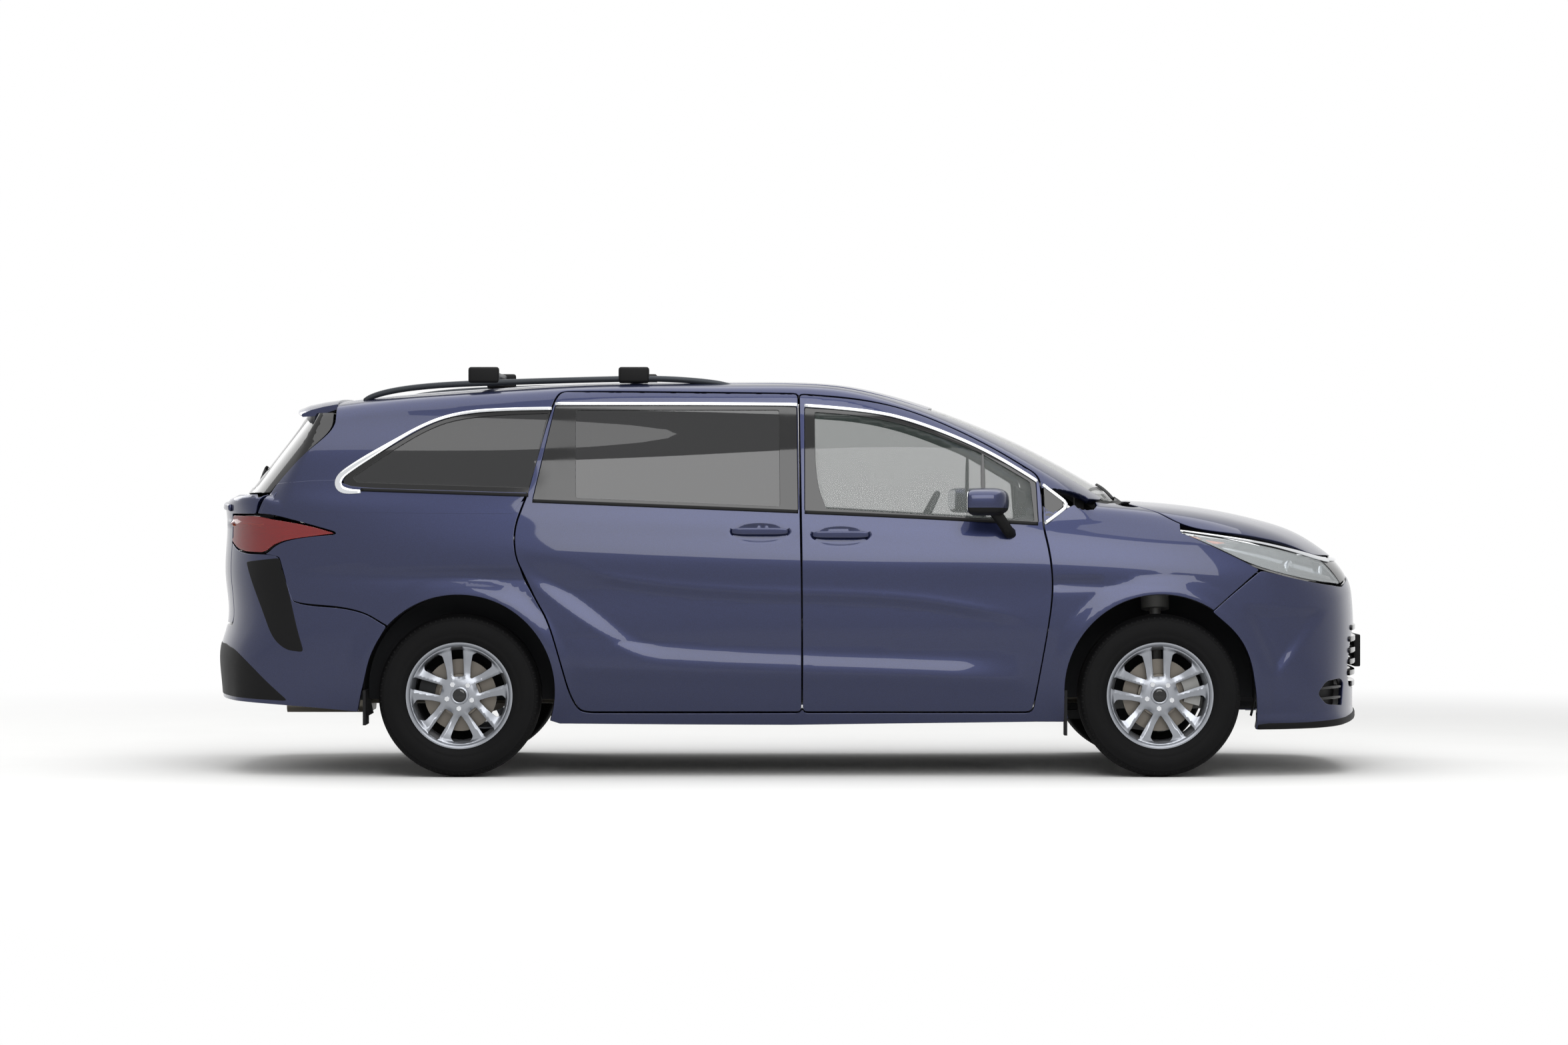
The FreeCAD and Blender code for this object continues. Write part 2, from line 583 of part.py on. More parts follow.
node("roof", whole(side["roof"]))
floor_half = side["floor"].fuse(side["firewall"])
rear_house = rear_arch(S.liner_wall).cut(rear_arch()).common(cabin)
beam_hole = Part.makeCylinder(45, 1600, Vector(HUB_REAR_X, -800, S.hub_height), Vector(0, 1, 0))
node("floor", solids(whole(floor_half.fuse(solids(rear_house))).cut(beam_hole)))
cowl_plate = box(S.firewall_x, 1540, -750, 0, 1140, 1160).cut(hood_tool(S.shut_gap))
trough = hood_tool(S.trough_width).common(box(S.firewall_x, 1560, -FAR, FAR, 1160, 1300))
hood_ears = box(S.hood_hinge_x - 7, S.hood_hinge_x + 7, -S.hood_hinge_y - 22, -S.hood_hinge_y + 22,
                1150, S.hood_hinge_z + 7)
cowl_half = side["cowl"].cut(trough).fuse([cowl_plate, hood_ears]).cut(hood_slot).fuse(hood_pin)
node("cowl", whole(solids(cowl_half)))
node("body_sides", both_sides(side["body_side"]))
node("front_bumper", whole(side["front_bumper"]))
node("rear_bumper", whole(side["rear_bumper"]))
node("fenders", both_sides(side["fender"]))
node("headlamps", both_sides(side["headlamp"]))
node("tail_lamps", both_sides(side["tail_lamp"]))
node("hood", hood)
node("tailgate", tailgate)
node("tailgate_glass", solids(glass_outer.common(rear_window_tool(-S.pane_gap)).cut(glass_inner)))
node("windshield", solids(glass_outer.common(screen_tool(-S.pane_gap)).cut(glass_inner)))
node("quarter_glass", both_sides(side_pane(QUARTER_WINDOW)))
front_pane = side_pane(FRONT_WINDOW)
slide_pane = side_pane(SLIDE_WINDOW)
for hand, turn in (("right", lambda s: s), ("left", other_side)):
    node(f"front_door_{hand}", turn(side["front_door"]))
    node(f"front_door_glass_{hand}", turn(front_pane))
    node(f"slide_door_{hand}", turn(side["slide_door"]))
    node(f"slide_door_glass_{hand}", turn(slide_pane))

front_liner = front_arch(S.liner_wall).cut(front_arch())
front_liner = front_liner.common([cabin, bay])
kingpin_low = Vector(S.hub_front_x, -S.kingpin_low_y, S.kingpin_low_z)
kingpin_top = Vector(S.hub_front_x, -S.kingpin_top_y, S.kingpin_top_z)
kingpin = (kingpin_top - kingpin_low).normalize()


def on_kingpin(z):
    return kingpin_low + kingpin * ((z - kingpin_low.z) / kingpin.z)


def along_kingpin(radius, low_z, high_z):
    start = on_kingpin(low_z)
    return Part.makeCylinder(radius, (on_kingpin(high_z) - start).Length, start, kingpin)


front_liner = front_liner.cut([hood_tool(S.shut_gap), along_kingpin(15, 780, 860)])
node("front_liners", both_sides(solids(front_liner)))

# Door mirrors: a rounded shell on a foot that stands on the door's skin
mirror_shell = box(768, 945, -1165, -1000, 1143, 1265)
mirror_shell = mirror_shell.makeFillet(28, mirror_shell.Edges)
mirror_shell = mirror_shell.cut(box(760, 775, -1137, -1028, 1171, 1237))
mirror_foot = box(905, 1010, -1045, -900, 1040, 1062).fuse(box(880, 925, -1045, -1010, 1040, 1160))
mirror = solids(mirror_shell.fuse(mirror_foot).cut(outer))
node("mirror_right", mirror)
node("mirror_left", other_side(mirror))

# Roof rails and their crossbars
RAIL = ((-1895, 1600), (-1887, 1668), (-1629, 1729), (-846, 1758), (-576, 1763), (-350, 1746),
        (-237, 1716), (-215, 1600), (-330, 1600), (-360, 1724), (-576, 1739), (-846, 1733),
        (-1600, 1706), (-1760, 1600))
rail_low = -(S.rail_y + S.rail_width / 2)
rail = side_prism(RAIL, rail_low, rail_low + S.rail_width).cut(outer)
bars = []
for bar_x in (S.bar_front_x, S.bar_rear_x):
    bars.append(box(bar_x - 28, bar_x + 28, -S.rail_y, S.rail_y, 1768, 1792))
    tower = box(bar_x - 70, bar_x + 70, rail_low - 4, rail_low + S.rail_width + 4, 1722, 1801)
    tower = tower.cut(outer)
    bars += [tower, other_side(tower)]
node("roof_rails", rail.fuse([other_side(rail), *bars]))


def turned(points, angle=360.0):
    """A profile of (outwards, radius) points turned round a wheel's axis, outwards being -Y."""
    face = Part.Face(Part.makePolygon([Vector(r, -a, 0) for a, r in [*points, points[0]]]))
    return face.revolve(Vector(0, 0, 0), Vector(0, 1, 0), angle)


def wheel_plane(points, low, high):
    """Polar (radius, degrees, bulge) points in a wheel's plane, from low to high outwards."""
    spots = [Vector(p[0] * math.cos(math.radians(p[1])), -low, p[0] * math.sin(math.radians(p[1])))
             for p in points]
    ends = spots[1:] + spots[:1]
    edges = [run(p, q, row[2] if len(row) > 2 else 0, Vector(0, 1, 0))
             for p, q, row in zip(spots, ends, points)]
    return Part.Face(Part.Wire(edges)).extrude(Vector(0, low - high, 0))


# Tyre and wheel, about the origin, their outer side towards -Y
half_tyre = S.tyre_width / 2
bead = S.bead_radius + S.pane_gap
TYRE_HALF = ((72, bead), (83.6, bead), (87.6, S.rim_radius + 1), (98, S.rim_radius + 8),
             (half_tyre, 290), (half_tyre - 3, 318), (104, 345), (78, S.tyre_radius))
TYRE_INSIDE = ((70, 322), (84, 290))
tyre = turned([*TYRE_HALF, *[(-a, r) for a, r in reversed(TYRE_HALF)],
               *[(-a, r) for a, r in reversed(TYRE_INSIDE)], *TYRE_INSIDE])
RIM = ((S.rim_half_width, S.rim_radius), (88, S.rim_radius), (84, S.bead_radius),
       (34, S.bead_radius - 2), (16, S.barrel_radius + 11), (-40, S.barrel_radius + 11),
       (-56, S.bead_radius - 2), (-84, S.bead_radius), (-88, S.rim_radius),
       (-S.rim_half_width, S.rim_radius), (-S.rim_half_width, 222), (-84, 209), (-60, 205),
       (-44, S.barrel_radius), (14, S.barrel_radius), (30, S.seat_radius), (42, S.seat_radius),
       (S.hub_face, 120), (S.hub_face, 0), (66, 0), (66, 27), (S.wheel_face, 31),
       (S.wheel_face, 40), (64, 74), (64, 130), (76, 200), (86, 214), (S.rim_half_width, 224))
wheel = turned(RIM)
windows = []
pitch = 360 / S.spoke_pairs
for k in range(int(S.spoke_pairs)):
    middle = 93 + k * pitch
    slot = box(84, S.window_radius, -110, -32, -S.slot_width / 2, S.slot_width / 2)
    slot.rotate(Vector(0, 0, 0), Vector(0, 1, 0), -middle)
    opposite = middle + pitch / 2
    gap = ((88, opposite), (132, opposite + 11), (S.window_radius - 16, opposite + 15),
           (S.window_radius, opposite + 10, 3), (S.window_radius, opposite - 10),
           (S.window_radius - 16, opposite - 15), (132, opposite - 11))
    windows += [slot, wheel_plane(gap, 32, 110)]
wheel = wheel.cut(windows)
spindle_bore = S.spindle_radius + S.bearing_gap
disc_outer = S.disc_place + S.disc_wall
HUB = ((S.hub_face, spindle_bore), (S.hub_face, S.disc_hat), (disc_outer, S.disc_hat),
       (disc_outer, S.disc_radius), (S.disc_place, S.disc_radius), (S.disc_place, 80), (34, 80),
       (34, 50), (-12, 50), (-12, spindle_bore))
wheel = solids(wheel.fuse(turned(HUB)))

# Knuckle: spindle, bearing carrier and brake caliper
CARRIER = ((S.hub_face - 2, 0), (S.hub_face - 2, S.spindle_radius), (-32, S.spindle_radius),
           (-32, 72), (-105, 60), (-105, 0))
CALIPER = ((-66, 62), (-66, 182), (31, 182), (31, 112), (disc_outer + S.run_gap, 112),
           (disc_outer + S.run_gap, S.disc_radius + S.run_gap),
           (S.disc_place - S.run_gap, S.disc_radius + S.run_gap),
           (S.disc_place - S.run_gap, 108), (-40, 100), (-40, 62))


def carrier(caliper_at):
    """The wheel carrier with its caliper centred caliper_at degrees round from the front."""
    caliper = turned(CALIPER, 46)
    caliper.rotate(Vector(0, 0, 0), Vector(0, 1, 0), -23 - caliper_at)
    return turned(CARRIER).fuse(caliper)


def at_wheel(shape, hub_x):
    placed = shape.copy()
    placed.translate(Vector(hub_x, -S.track_half, S.hub_height))
    return placed


for name, hub_x in (("front", S.hub_front_x), ("rear", HUB_REAR_X)):
    for hand, turn in (("right", lambda s: s), ("left", other_side)):
        node(f"tyre_{name}_{hand}", turn(at_wheel(tyre, hub_x)))
        node(f"wheel_{name}_{hand}", turn(at_wheel(wheel, hub_x)))

strut = [along_kingpin(18, S.ball_joint_z + 4.1, 300), along_kingpin(S.strut_radius, 300, 730),
         along_kingpin(S.rod_radius, 700, 845), along_kingpin(S.spring_radius, 728, 800)]
clamp = box(S.hub_front_x - 30, S.hub_front_x + 30, -770, -690, 300, 440)
knuckle = solids(at_wheel(carrier(8), S.hub_front_x).fuse([*strut, clamp]))
node("knuckle_right", knuckle)
node("knuckle_left", other_side(knuckle))

# Rear axle: beam, trailing arms, springs and carriers
rear_carrier = at_wheel(carrier(165), HUB_REAR_X)
beam = Part.makeCylinder(35, 2 * 760, Vector(HUB_REAR_X, -760, S.hub_height), Vector(0, 1, 0))
arm = box(HUB_REAR_X, HUB_REAR_X + 335, -640, -590, 322, 362)
pivot = box(HUB_REAR_X + 300, HUB_REAR_X + 340, -660, -570, 322, 450)
spring = Part.makeCylinder(48, 105, Vector(HUB_REAR_X - 110, -560, 345), Vector(0, 0, 1))
seat = box(HUB_REAR_X - 165, HUB_REAR_X, -615, -505, 330, 346)
rear_half = [rear_carrier, arm, pivot, spring, seat]
node("rear_axle", solids(beam.fuse(rear_half + [other_side(s) for s in rear_half])))

# Front subframe with the lower arms
subframe = box(S.hub_front_x - 140, S.hub_front_x + 140, -390, 390, S.subframe_z,
               S.subframe_z + S.subframe_wall)
ARM = ((S.hub_front_x - 130, -380), (S.hub_front_x + 130, -380), (S.hub_front_x + 28, -750),
       (S.hub_front_x, -798), (S.hub_front_x - 28, -750))
lower_arm = plan_prism(ARM, S.ball_joint_z - 24, S.ball_joint_z)
lower_arm = lower_arm.fuse(box(S.hub_front_x - 130, S.hub_front_x + 130, -390, -340,
                               S.ball_joint_z - 24, S.subframe_z + 10))
legs = [box(S.firewall_x - 120, S.hub_front_x, y - 35, y + 35, S.subframe_z, S.subframe_z + 40)
        for y in (-310, 310)]
legs += [box(S.firewall_x - 120, S.firewall_x - 40, y - 35, y + 35, S.subframe_z, 330)
         for y in (-310, 310)]
node("front_subframe", subframe.fuse([lower_arm, other_side(lower_arm), *legs]))


def primitive(kind, name, sizes, place):
    """A Part primitive with its sizes and place bound to the sheet."""
    solid = doc.addObject(kind, name)
    for size, expression in sizes.items():
        solid.setExpression(size, expression)
    for axis, expression in place.items():
        solid.setExpression(f"Placement.Base.{axis}", expression)
    solid.Label = name
    return solid


NODES["engine"] = primitive(
    "Part::Box", "engine",
    {"Length": "sizes.engine_length", "Width": "sizes.engine_width",
     "Height": "sizes.engine_height"},
    {"x": "sizes.engine_x", "y": "-sizes.engine_width / 2",
     "z": "sizes.subframe_z + sizes.subframe_wall"})
NODES["fuel_tank"] = primitive(
    "Part::Box", "fuel_tank",
    {"Length": "sizes.tank_length", "Width": "sizes.tank_width", "Height": "sizes.tank_height"},
    {"x": "sizes.tank_x", "y": "-sizes.tank_width / 2",
     "z": "sizes.cabin_floor_z - sizes.floor_wall - sizes.tank_height"})

# Exhaust: pipe, silencer and the hangers under the floor
pipe = Part.makeCylinder(S.pipe_radius, S.engine_x + 1960,
                         Vector(-1960, S.pipe_y - 60, S.pipe_z), Vector(1, 0, 0))
silencer = box(-2330, -1950, 240, 640, 225, 322)
silencer = silencer.makeFillet(35, [e for e in silencer.Edges if abs(e.BoundBox.XLength) > 100])
hangers = [box(x, x + 30, S.pipe_y - 70, S.pipe_y - 50, S.pipe_z, 330) for x in (700, -900)]
hangers.append(box(-2200, -2170, 420, 460, 300, 330))
node("exhaust", solids(pipe.fuse([silencer, *hangers])))

# Dashboard and steering wheel
DASH = ((S.firewall_x, 665), (S.firewall_x, 1139), (1100, 1128), (905, 1085), (868, 1010),
        (900, 860), (1010, 760), (1080, 640))
tilt = math.radians(S.steering_tilt)
steer_axis = Vector(math.cos(tilt), 0, -math.sin(tilt))
steer_middle = Vector(S.steering_x, S.steering_y, S.steering_z)
column = Part.makeCylinder(22, 420, steer_middle, steer_axis)
column_bore = Part.makeCylinder(22 + S.bearing_gap, 425, steer_middle, steer_axis)
node("dashboard", solids(side_prism(DASH, -755, 755).cut(column_bore)))
rim = Part.makeTorus(S.steering_radius, 14, steer_middle, steer_axis)
boss = Part.makeCylinder(58, 50, steer_middle - steer_axis * 8, steer_axis)
spokes = [Part.makeBox(2 * S.steering_radius - 10, 26, 16,
                       Vector(-S.steering_radius + 5, -13, 0)),
          Part.makeBox(26, S.steering_radius - 5, 16, Vector(-13, -S.steering_radius + 5, 0))]
for spoke in spokes:
    spoke.rotate(Vector(0, 0, 0), Vector(0, 0, 1), 90)
    spoke.rotate(Vector(0, 0, 0), Vector(0, 1, 0), 90 + S.steering_tilt)
    spoke.translate(steer_middle)
node("steering_wheel", solids(rim.fuse([boss, column, *spokes])))

# Seats: cushion on its plinth, raked back and head restraint
SEAT = ((90, 0), (430, 0), (440, 150), (505, 190), (500, 275), (440, 300), (120, 280),
        (-20, 830), (-40, 960), (-110, 1010), (-140, 960), (-120, 830), (-140, 800), (10, 190))


def seat_row(front_x, floor_z, width, places, depth=1.0):
    seats = []
    for y in places:
        rows = [(front_x - 505 + a * depth, floor_z + b) for a, b in SEAT]
        seats.append(side_prism(rows, y - width / 2, y + width / 2))
    return Part.makeCompound(seats) if len(seats) > 1 else seats[0]


node("seats_front", seat_row(420, S.cabin_floor_z, 520, (-370, 370)))
node("seats_middle", seat_row(-480, S.cabin_floor_z, 520, (-370, 370)))
node("seats_rear", seat_row(-1180, S.axle_floor_z, 1220, (0,), 0.95))

# Mud flaps behind the wheels
flap_rear = HUB_REAR_X - S.arch_radius + S.pane_gap
flap_front = S.hub_front_x - S.arch_radius + S.pane_gap
flaps = [box(flap_rear, flap_rear + 12, -970, -800, 228, ARCH_Z),
         box(flap_front, flap_front + 12, -965, -(S.track_half + S.lip_depth), 183, ARCH_Z)]
node("mud_flaps", Part.makeCompound(flaps + [other_side(s) for s in flaps]))

doc.recompute()
os.makedirs("parts", exist_ok=True)
faults = [o.Label for o in doc.Objects if {"Invalid", "Error"} & set(o.State)]
faults += [name for name, part in NODES.items() if part.Shape.isNull() or not part.Shape.isValid()]
if faults:
    raise SystemExit(f"failed: {faults}")
for name, part in NODES.items():
    part.Shape.exportStep(f"parts/{name}.step")
print(len(NODES), "pieces")
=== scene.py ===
"""A family minivan in dark blue enamel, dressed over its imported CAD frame: body panels, glazing,
lamps, wheels and cabin. Lengths in the sections are millimetres unless their name says otherwise.
"""

import math

import bmesh
import bpy
import numpy as np
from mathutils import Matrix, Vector, geometry


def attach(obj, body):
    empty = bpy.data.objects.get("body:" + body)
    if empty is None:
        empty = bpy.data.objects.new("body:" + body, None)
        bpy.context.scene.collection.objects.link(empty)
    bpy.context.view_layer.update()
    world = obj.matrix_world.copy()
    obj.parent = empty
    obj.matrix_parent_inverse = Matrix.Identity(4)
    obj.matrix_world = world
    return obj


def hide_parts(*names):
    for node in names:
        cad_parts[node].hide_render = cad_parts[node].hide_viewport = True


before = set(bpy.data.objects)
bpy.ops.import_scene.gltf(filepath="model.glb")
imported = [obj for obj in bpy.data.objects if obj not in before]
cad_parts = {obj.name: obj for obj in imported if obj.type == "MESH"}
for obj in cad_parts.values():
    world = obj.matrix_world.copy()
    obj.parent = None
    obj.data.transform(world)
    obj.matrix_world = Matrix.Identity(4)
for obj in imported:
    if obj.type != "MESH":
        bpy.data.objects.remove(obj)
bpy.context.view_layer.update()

# Body form
# The unitary body is pressed steel and one smooth form, so it is written here as rules: half widths
# at stations along the car, a centre line over hood, screen and roof, and how both draw in.
SIDE_HEIGHTS = (150, 270, 480, 840, 1040, 1165, 1640, 1800)
SIDE_BULGES = (0, 6, 10, 8, 4, 12, 0)
SIDE_STATIONS = (
    (-2640, 600, 650, 700, 730, 715, 690, 600),
    (-2300, 790, 840, 885, 905, 893, 862, 705),
    (-1950, 860, 905, 955, 975, 965, 922, 745),
    (-1450, 885, 925, 985, 997, 985, 945, 765),
    (-600, 885, 925, 978, 992, 978, 948, 775),
    (300, 885, 925, 972, 988, 972, 940, 770),
    (1100, 885, 925, 970, 985, 968, 925, 735),
    (1600, 880, 925, 975, 988, 960, 905, 700),
    (2050, 850, 900, 940, 950, 915, 860, 650),
    (2350, 770, 820, 860, 870, 840, 790, 600),
    (2640, 600, 640, 680, 690, 660, 620, 450),
)
CANT_LEAN = 45
BELT_SLOPE = -0.041
BELT_Z = 1165
BELT_REACH = 250
HALVES = (0, 400, 640, 760, 850, 930, 1010)
TAIL_DRAWS = (0, 25, 75, 130, 200, 300, 460)
MM = 0.001
ACROSS = (1, -1, 1)


def spline(knots, values, beyond=False):
    """A natural cubic through values at the knots, straight beyond them or else level. Values may
    have columns."""
    knots = np.asarray(knots, float)
    values = np.asarray(values, float)
    steps = np.diff(knots)
    count = len(knots)
    system = np.eye(count)
    right = np.zeros_like(values)
    for i in range(1, count - 1):
        system[i, i - 1:i + 2] = steps[i - 1], 2 * (steps[i - 1] + steps[i]), steps[i]
        right[i] = 6 * ((values[i + 1] - values[i]) / steps[i]
                        - (values[i] - values[i - 1]) / steps[i - 1])
    bend = np.linalg.solve(system, right)
    first = (values[1] - values[0]) / steps[0] - bend[1] * steps[0] / 6
    last = (values[-1] - values[-2]) / steps[-1] + bend[-2] * steps[-1] / 6

    def at(wanted):
        x = np.clip(np.asarray(wanted, float), knots[0], knots[-1])
        over = np.maximum(wanted - knots[-1], 0) * last + np.minimum(wanted - knots[0], 0) * first \
            if beyond else 0
        k = np.clip(np.searchsorted(knots, x) - 1, 0, count - 2)
        step = steps[k]
        b = (x - knots[k]) / step
        if values.ndim > 1:
            b, step = b[..., None], step[..., None]
        a = 1 - b
        return (a * values[k] + b * values[k + 1]
                + ((a ** 3 - a) * bend[k] + (b ** 3 - b) * bend[k + 1]) * step ** 2 / 6) + over

    return at


def with_middles(heights, halves, bulges):
    """The rows with a point added in each run, moved out by its bulge."""
    rows = []
    for k, bulge in enumerate(bulges):
        rows.append((heights[k], halves[k]))
        rows.append(((heights[k] + heights[k + 1]) / 2, (halves[k] + halves[k + 1]) / 2 + bulge))
    rows.append((heights[-1], halves[-1]))
    return rows


side_rows = [with_middles(SIDE_HEIGHTS, [*row[1:], row[-1] - CANT_LEAN], SIDE_BULGES)
             for row in SIDE_STATIONS]
side_levels = np.array([z for z, _ in side_rows[0]])
side_along = spline([row[0] for row in SIDE_STATIONS], [[w for _, w in row] for row in side_rows])
level_weights = spline(side_levels, np.eye(len(side_levels)))


def half_width(x, z):
    """Half the width of the body at x and height z."""
    level = z - BELT_SLOPE * x * np.exp(-((z - BELT_Z) / BELT_REACH) ** 2)
    return (side_along(x) * level_weights(level)).sum(-1)


nose_draw = spline(HALVES, (0, 25, 85, 150, 235, 360, 570))
screen_draw = spline(HALVES, (0, 35, 88, 125, 165, 215, 280))
tail_draw = spline(HALVES, TAIL_DRAWS)
hood_drop = spline(HALVES, (0, 8, 24, 42, 75, 135, 240))
roof_drop = spline(HALVES, (0, 6, 18, 45, 110, 210, 320))
low_line = spline((-2700, -2565, -2455, -2300, 0, 1200, 1500, 1817, 2130, 2300, 2450, 2512, 2650),
                  (1120, 1190, 1236, 1246, 1250, 1226, 1208, 1181, 1119, 1059, 960, 905, 700), True)
low_share = spline((-2700, 1200, 1500, 2130, 2450, 2650), (0.2, 0.4, 0.5, 1.3, 1.5, 1.2))
low_shift = spline((-2700, 1300, 1700, 2130, 2450, 2650), (0, 0, 0.05, 0.3, 1.0, 1.0))
nose_line = spline((60, 330, 545, 760, 834, 905, 1100), (2550, 2544, 2548, 2542, 2532, 2512, 2420),
                   True)
screen_line = spline((300, 650, 1075, 1500, 1900), (1770, 1640, 1449, 1208, 950), True)
roof_line = spline((-2500, -2262, -1900, -1400, -825, -250, 250, 450, 650, 900),
                   (1560, 1612, 1669, 1711, 1741, 1744, 1727, 1692, 1641, 1560), True)
gate_line = spline((60, 370, 465, 560, 650, 885, 1120, 1190, 1300),
                   (-2572, -2572, -2581, -2578, -2552, -2560, -2552, -2560, -2580), True)
glass_line = spline((1150, 1236, 1568, 1700), (-2520, -2455, -2200, -2100), True)


def blend_max(a, b, radius):
    """The larger of two fields, rounded where they cross."""
    return np.maximum(a, b) + np.maximum(radius - np.abs(a - b), 0) ** 2 / (4 * radius)


def body_field(p):
    """Below zero inside the body, above it outside, about a distance near its surface."""
    x, y, z = p[:, 0], np.abs(p[:, 1]), p[:, 2]
    side = (y - half_width(x, z)) * 0.97
    hood = z - low_line(x + nose_draw(y) * low_shift(x)) + hood_drop(y) * low_share(x)
    nose = x - nose_line(z) + nose_draw(y)
    tail = gate_line(z) + tail_draw(y) - x
    low = blend_max(blend_max(blend_max(side, hood * 0.93, 46), nose, 60), tail, 46)
    screen = (z - screen_line(x + screen_draw(y) * 0.8) + hood_drop(y) * 0.5) * 0.89
    roof = z - roof_line(x) + roof_drop(y)
    glass = (glass_line(z + roof_drop(y) * 0.5) + tail_draw(y) * 0.75 - x) * 0.8
    top = blend_max(roof, screen, 60)
    high = blend_max(blend_max(side, top, 40), glass, 16)
    return np.minimum(low, np.maximum(high, BELT_Z - 65 - z))


def cast(start, aim, reach, stride=45.0):
    """Where rays from outside first meet the body."""
    near = np.zeros(len(start))
    far = np.full(len(start), float(reach))
    above = body_field(start)
    below = np.full(len(start), -1.0)
    waiting = np.arange(len(start))
    closest, nearest = above.copy(), near.copy()
    for t in np.arange(stride, reach + stride, stride):
        here = body_field(start[waiting] + aim[waiting] * t)
        better = here < closest[waiting]
        closest[waiting[better]], nearest[waiting[better]] = here[better], t
        hit = here <= 0
        far[waiting[hit]], below[waiting[hit]] = t, here[hit]
        near[waiting[~hit]], above[waiting[~hit]] = t, here[~hit]
        waiting = waiting[~hit]
        if not len(waiting):
            break
    near = np.minimum(near, far)
    for k in range(9):
        share = above / np.maximum(above - below, 1e-9) if k % 3 else 0.5
        middle = near + (far - near) * share
        here = body_field(start + aim * middle[:, None])
        outside = here > 0
        near, above = np.where(outside, middle, near), np.where(outside, here, above)
        far, below = np.where(outside, far, middle), np.where(outside, below, here)
    gap = np.maximum(above - below, 1e-9)
    spots = start + aim * (near + (far - near) * above / gap)[:, None]
    if len(waiting):
        spots[waiting] = start[waiting] + aim[waiting] * nearest[waiting][:, None]
        for _ in range(10):
            here = spots[waiting]
            spots[waiting] = here - slope_of(here) * body_field(here)[:, None] * 0.9
    return spots


def rounded(points, step=15.0):
    """A closed outline with curved corners; a third value limits a corner's cut."""
    spots = [np.array(p[:2], float) for p in points]
    loop = []
    for k, here in enumerate(spots):
        before, after = spots[k - 1], spots[(k + 1) % len(spots)]
        limit = points[k][2] if len(points[k]) > 2 else 1e9
        into, out = before - here, after - here
        start = here + into * min(0.5, limit / np.linalg.norm(into))
        end = here + out * min(0.5, limit / np.linalg.norm(out))
        parts = max(2, int((np.linalg.norm(start - here) + np.linalg.norm(end - here)) / step) + 1)
        if limit < 1:
            parts = 1
        for t in np.linspace(0, 1, parts + 1):
            loop.append((1 - t) ** 2 * start + 2 * t * (1 - t) * here + t ** 2 * end)
        ahead = points[(k + 1) % len(spots)]
        ahead_limit = ahead[2] if len(ahead) > 2 else 1e9
        stop = after - out * min(0.5, ahead_limit / np.linalg.norm(out))
        gap = np.linalg.norm(stop - end)
        parts = max(1, round(gap / step))
        for t in np.arange(1, parts) / parts:
            loop.append(end + (stop - end) * t)
    clean = [loop[0]]
    for spot in loop[1:]:
        if np.linalg.norm(spot - clean[-1]) > 0.3:
            clean.append(spot)
    if np.linalg.norm(clean[-1] - clean[0]) < 0.3:
        clean.pop()
    return np.array(clean)


def area(loop):
    """The area inside an outline, below zero where it runs clockwise."""
    a, b = loop[:, 0], loop[:, 1]
    return (a * np.roll(b, -1) - b * np.roll(a, -1)).sum() / 2


def grown(loop, distance):
    """The outline with its edge moved out by a distance, or in by a negative one."""
    loop = np.asarray(loop, float)
    along = np.roll(loop, -1, 0) - np.roll(loop, 1, 0)
    along /= np.linalg.norm(along, axis=1)[:, None] + 1e-9
    return loop + np.stack([along[:, 1], -along[:, 0]], 1) * distance * np.sign(area(loop))


def inside(points, loop):
    """Which of the flat points lie inside the outline."""
    found = np.zeros(len(points), bool)
    for (x0, y0), (x1, y1) in zip(loop, np.roll(loop, -1, 0)):
        if y0 == y1:
            continue
        crossing = (points[:, 1] < y0) != (points[:, 1] < y1)
        found ^= crossing & (points[:, 0] < (x1 - x0) * (points[:, 1] - y0) / (y1 - y0) + x0)
    return found


def triangles(keep, cut, step, lines=()):
    """A mesh of the region inside keep and outside every cut: points and triangles."""
    loops = [keep, *cut]
    spots, edges = [], []
    for loop in loops:
        first = len(spots)
        spots += [tuple(p) for p in loop]
        edges += [(first + k, first + (k + 1) % len(loop)) for k in range(len(loop))]
    for line in lines:
        first = len(spots)
        spots += [tuple(p) for p in line]
        edges += [(first + k, first + k + 1) for k in range(len(line) - 1)]
    fixed = np.array(spots)
    low, high = keep.min(0), keep.max(0)
    columns = np.arange(low[0], high[0], step)
    rows = np.arange(low[1], high[1], step * 0.866)
    grid = np.array([(x + (step / 2 if k % 2 else 0), z) for k, z in enumerate(rows)
                     for x in columns])
    grid = grid[inside(grid, keep)]
    for loop in cut:
        grid = grid[~inside(grid, loop)]
    for part in np.array_split(fixed, max(1, len(fixed) // 200)):
        distance = np.linalg.norm(grid[:, None] - part[None], axis=2).min(1)
        grid = grid[distance > 0.55 * step]
    everything = [Vector(p) for p in spots] + [Vector(p) for p in grid]
    points, _, faces, *_ = geometry.delaunay_2d_cdt(everything, edges, [], 0, 1e-4)
    points = np.array([tuple(p) for p in points])
    faces = np.array([f for f in faces if len(f) == 3])
    middles = points[faces].mean(1)
    wanted = inside(middles, keep)
    for loop in cut:
        wanted &= ~inside(middles, loop)
    a, b, c = (points[faces[:, k]] for k in range(3))
    size = (b[:, 0] - a[:, 0]) * (c[:, 1] - a[:, 1]) - (b[:, 1] - a[:, 1]) * (c[:, 0] - a[:, 0])
    wanted &= np.abs(size) > 1e-3
    faces, clockwise = faces[wanted], size[wanted] < 0
    faces[clockwise] = faces[clockwise][:, ::-1]
    used = np.unique(faces)
    renumber = np.zeros(len(points), int)
    renumber[used] = np.arange(len(used))
    return points[used], renumber[faces]


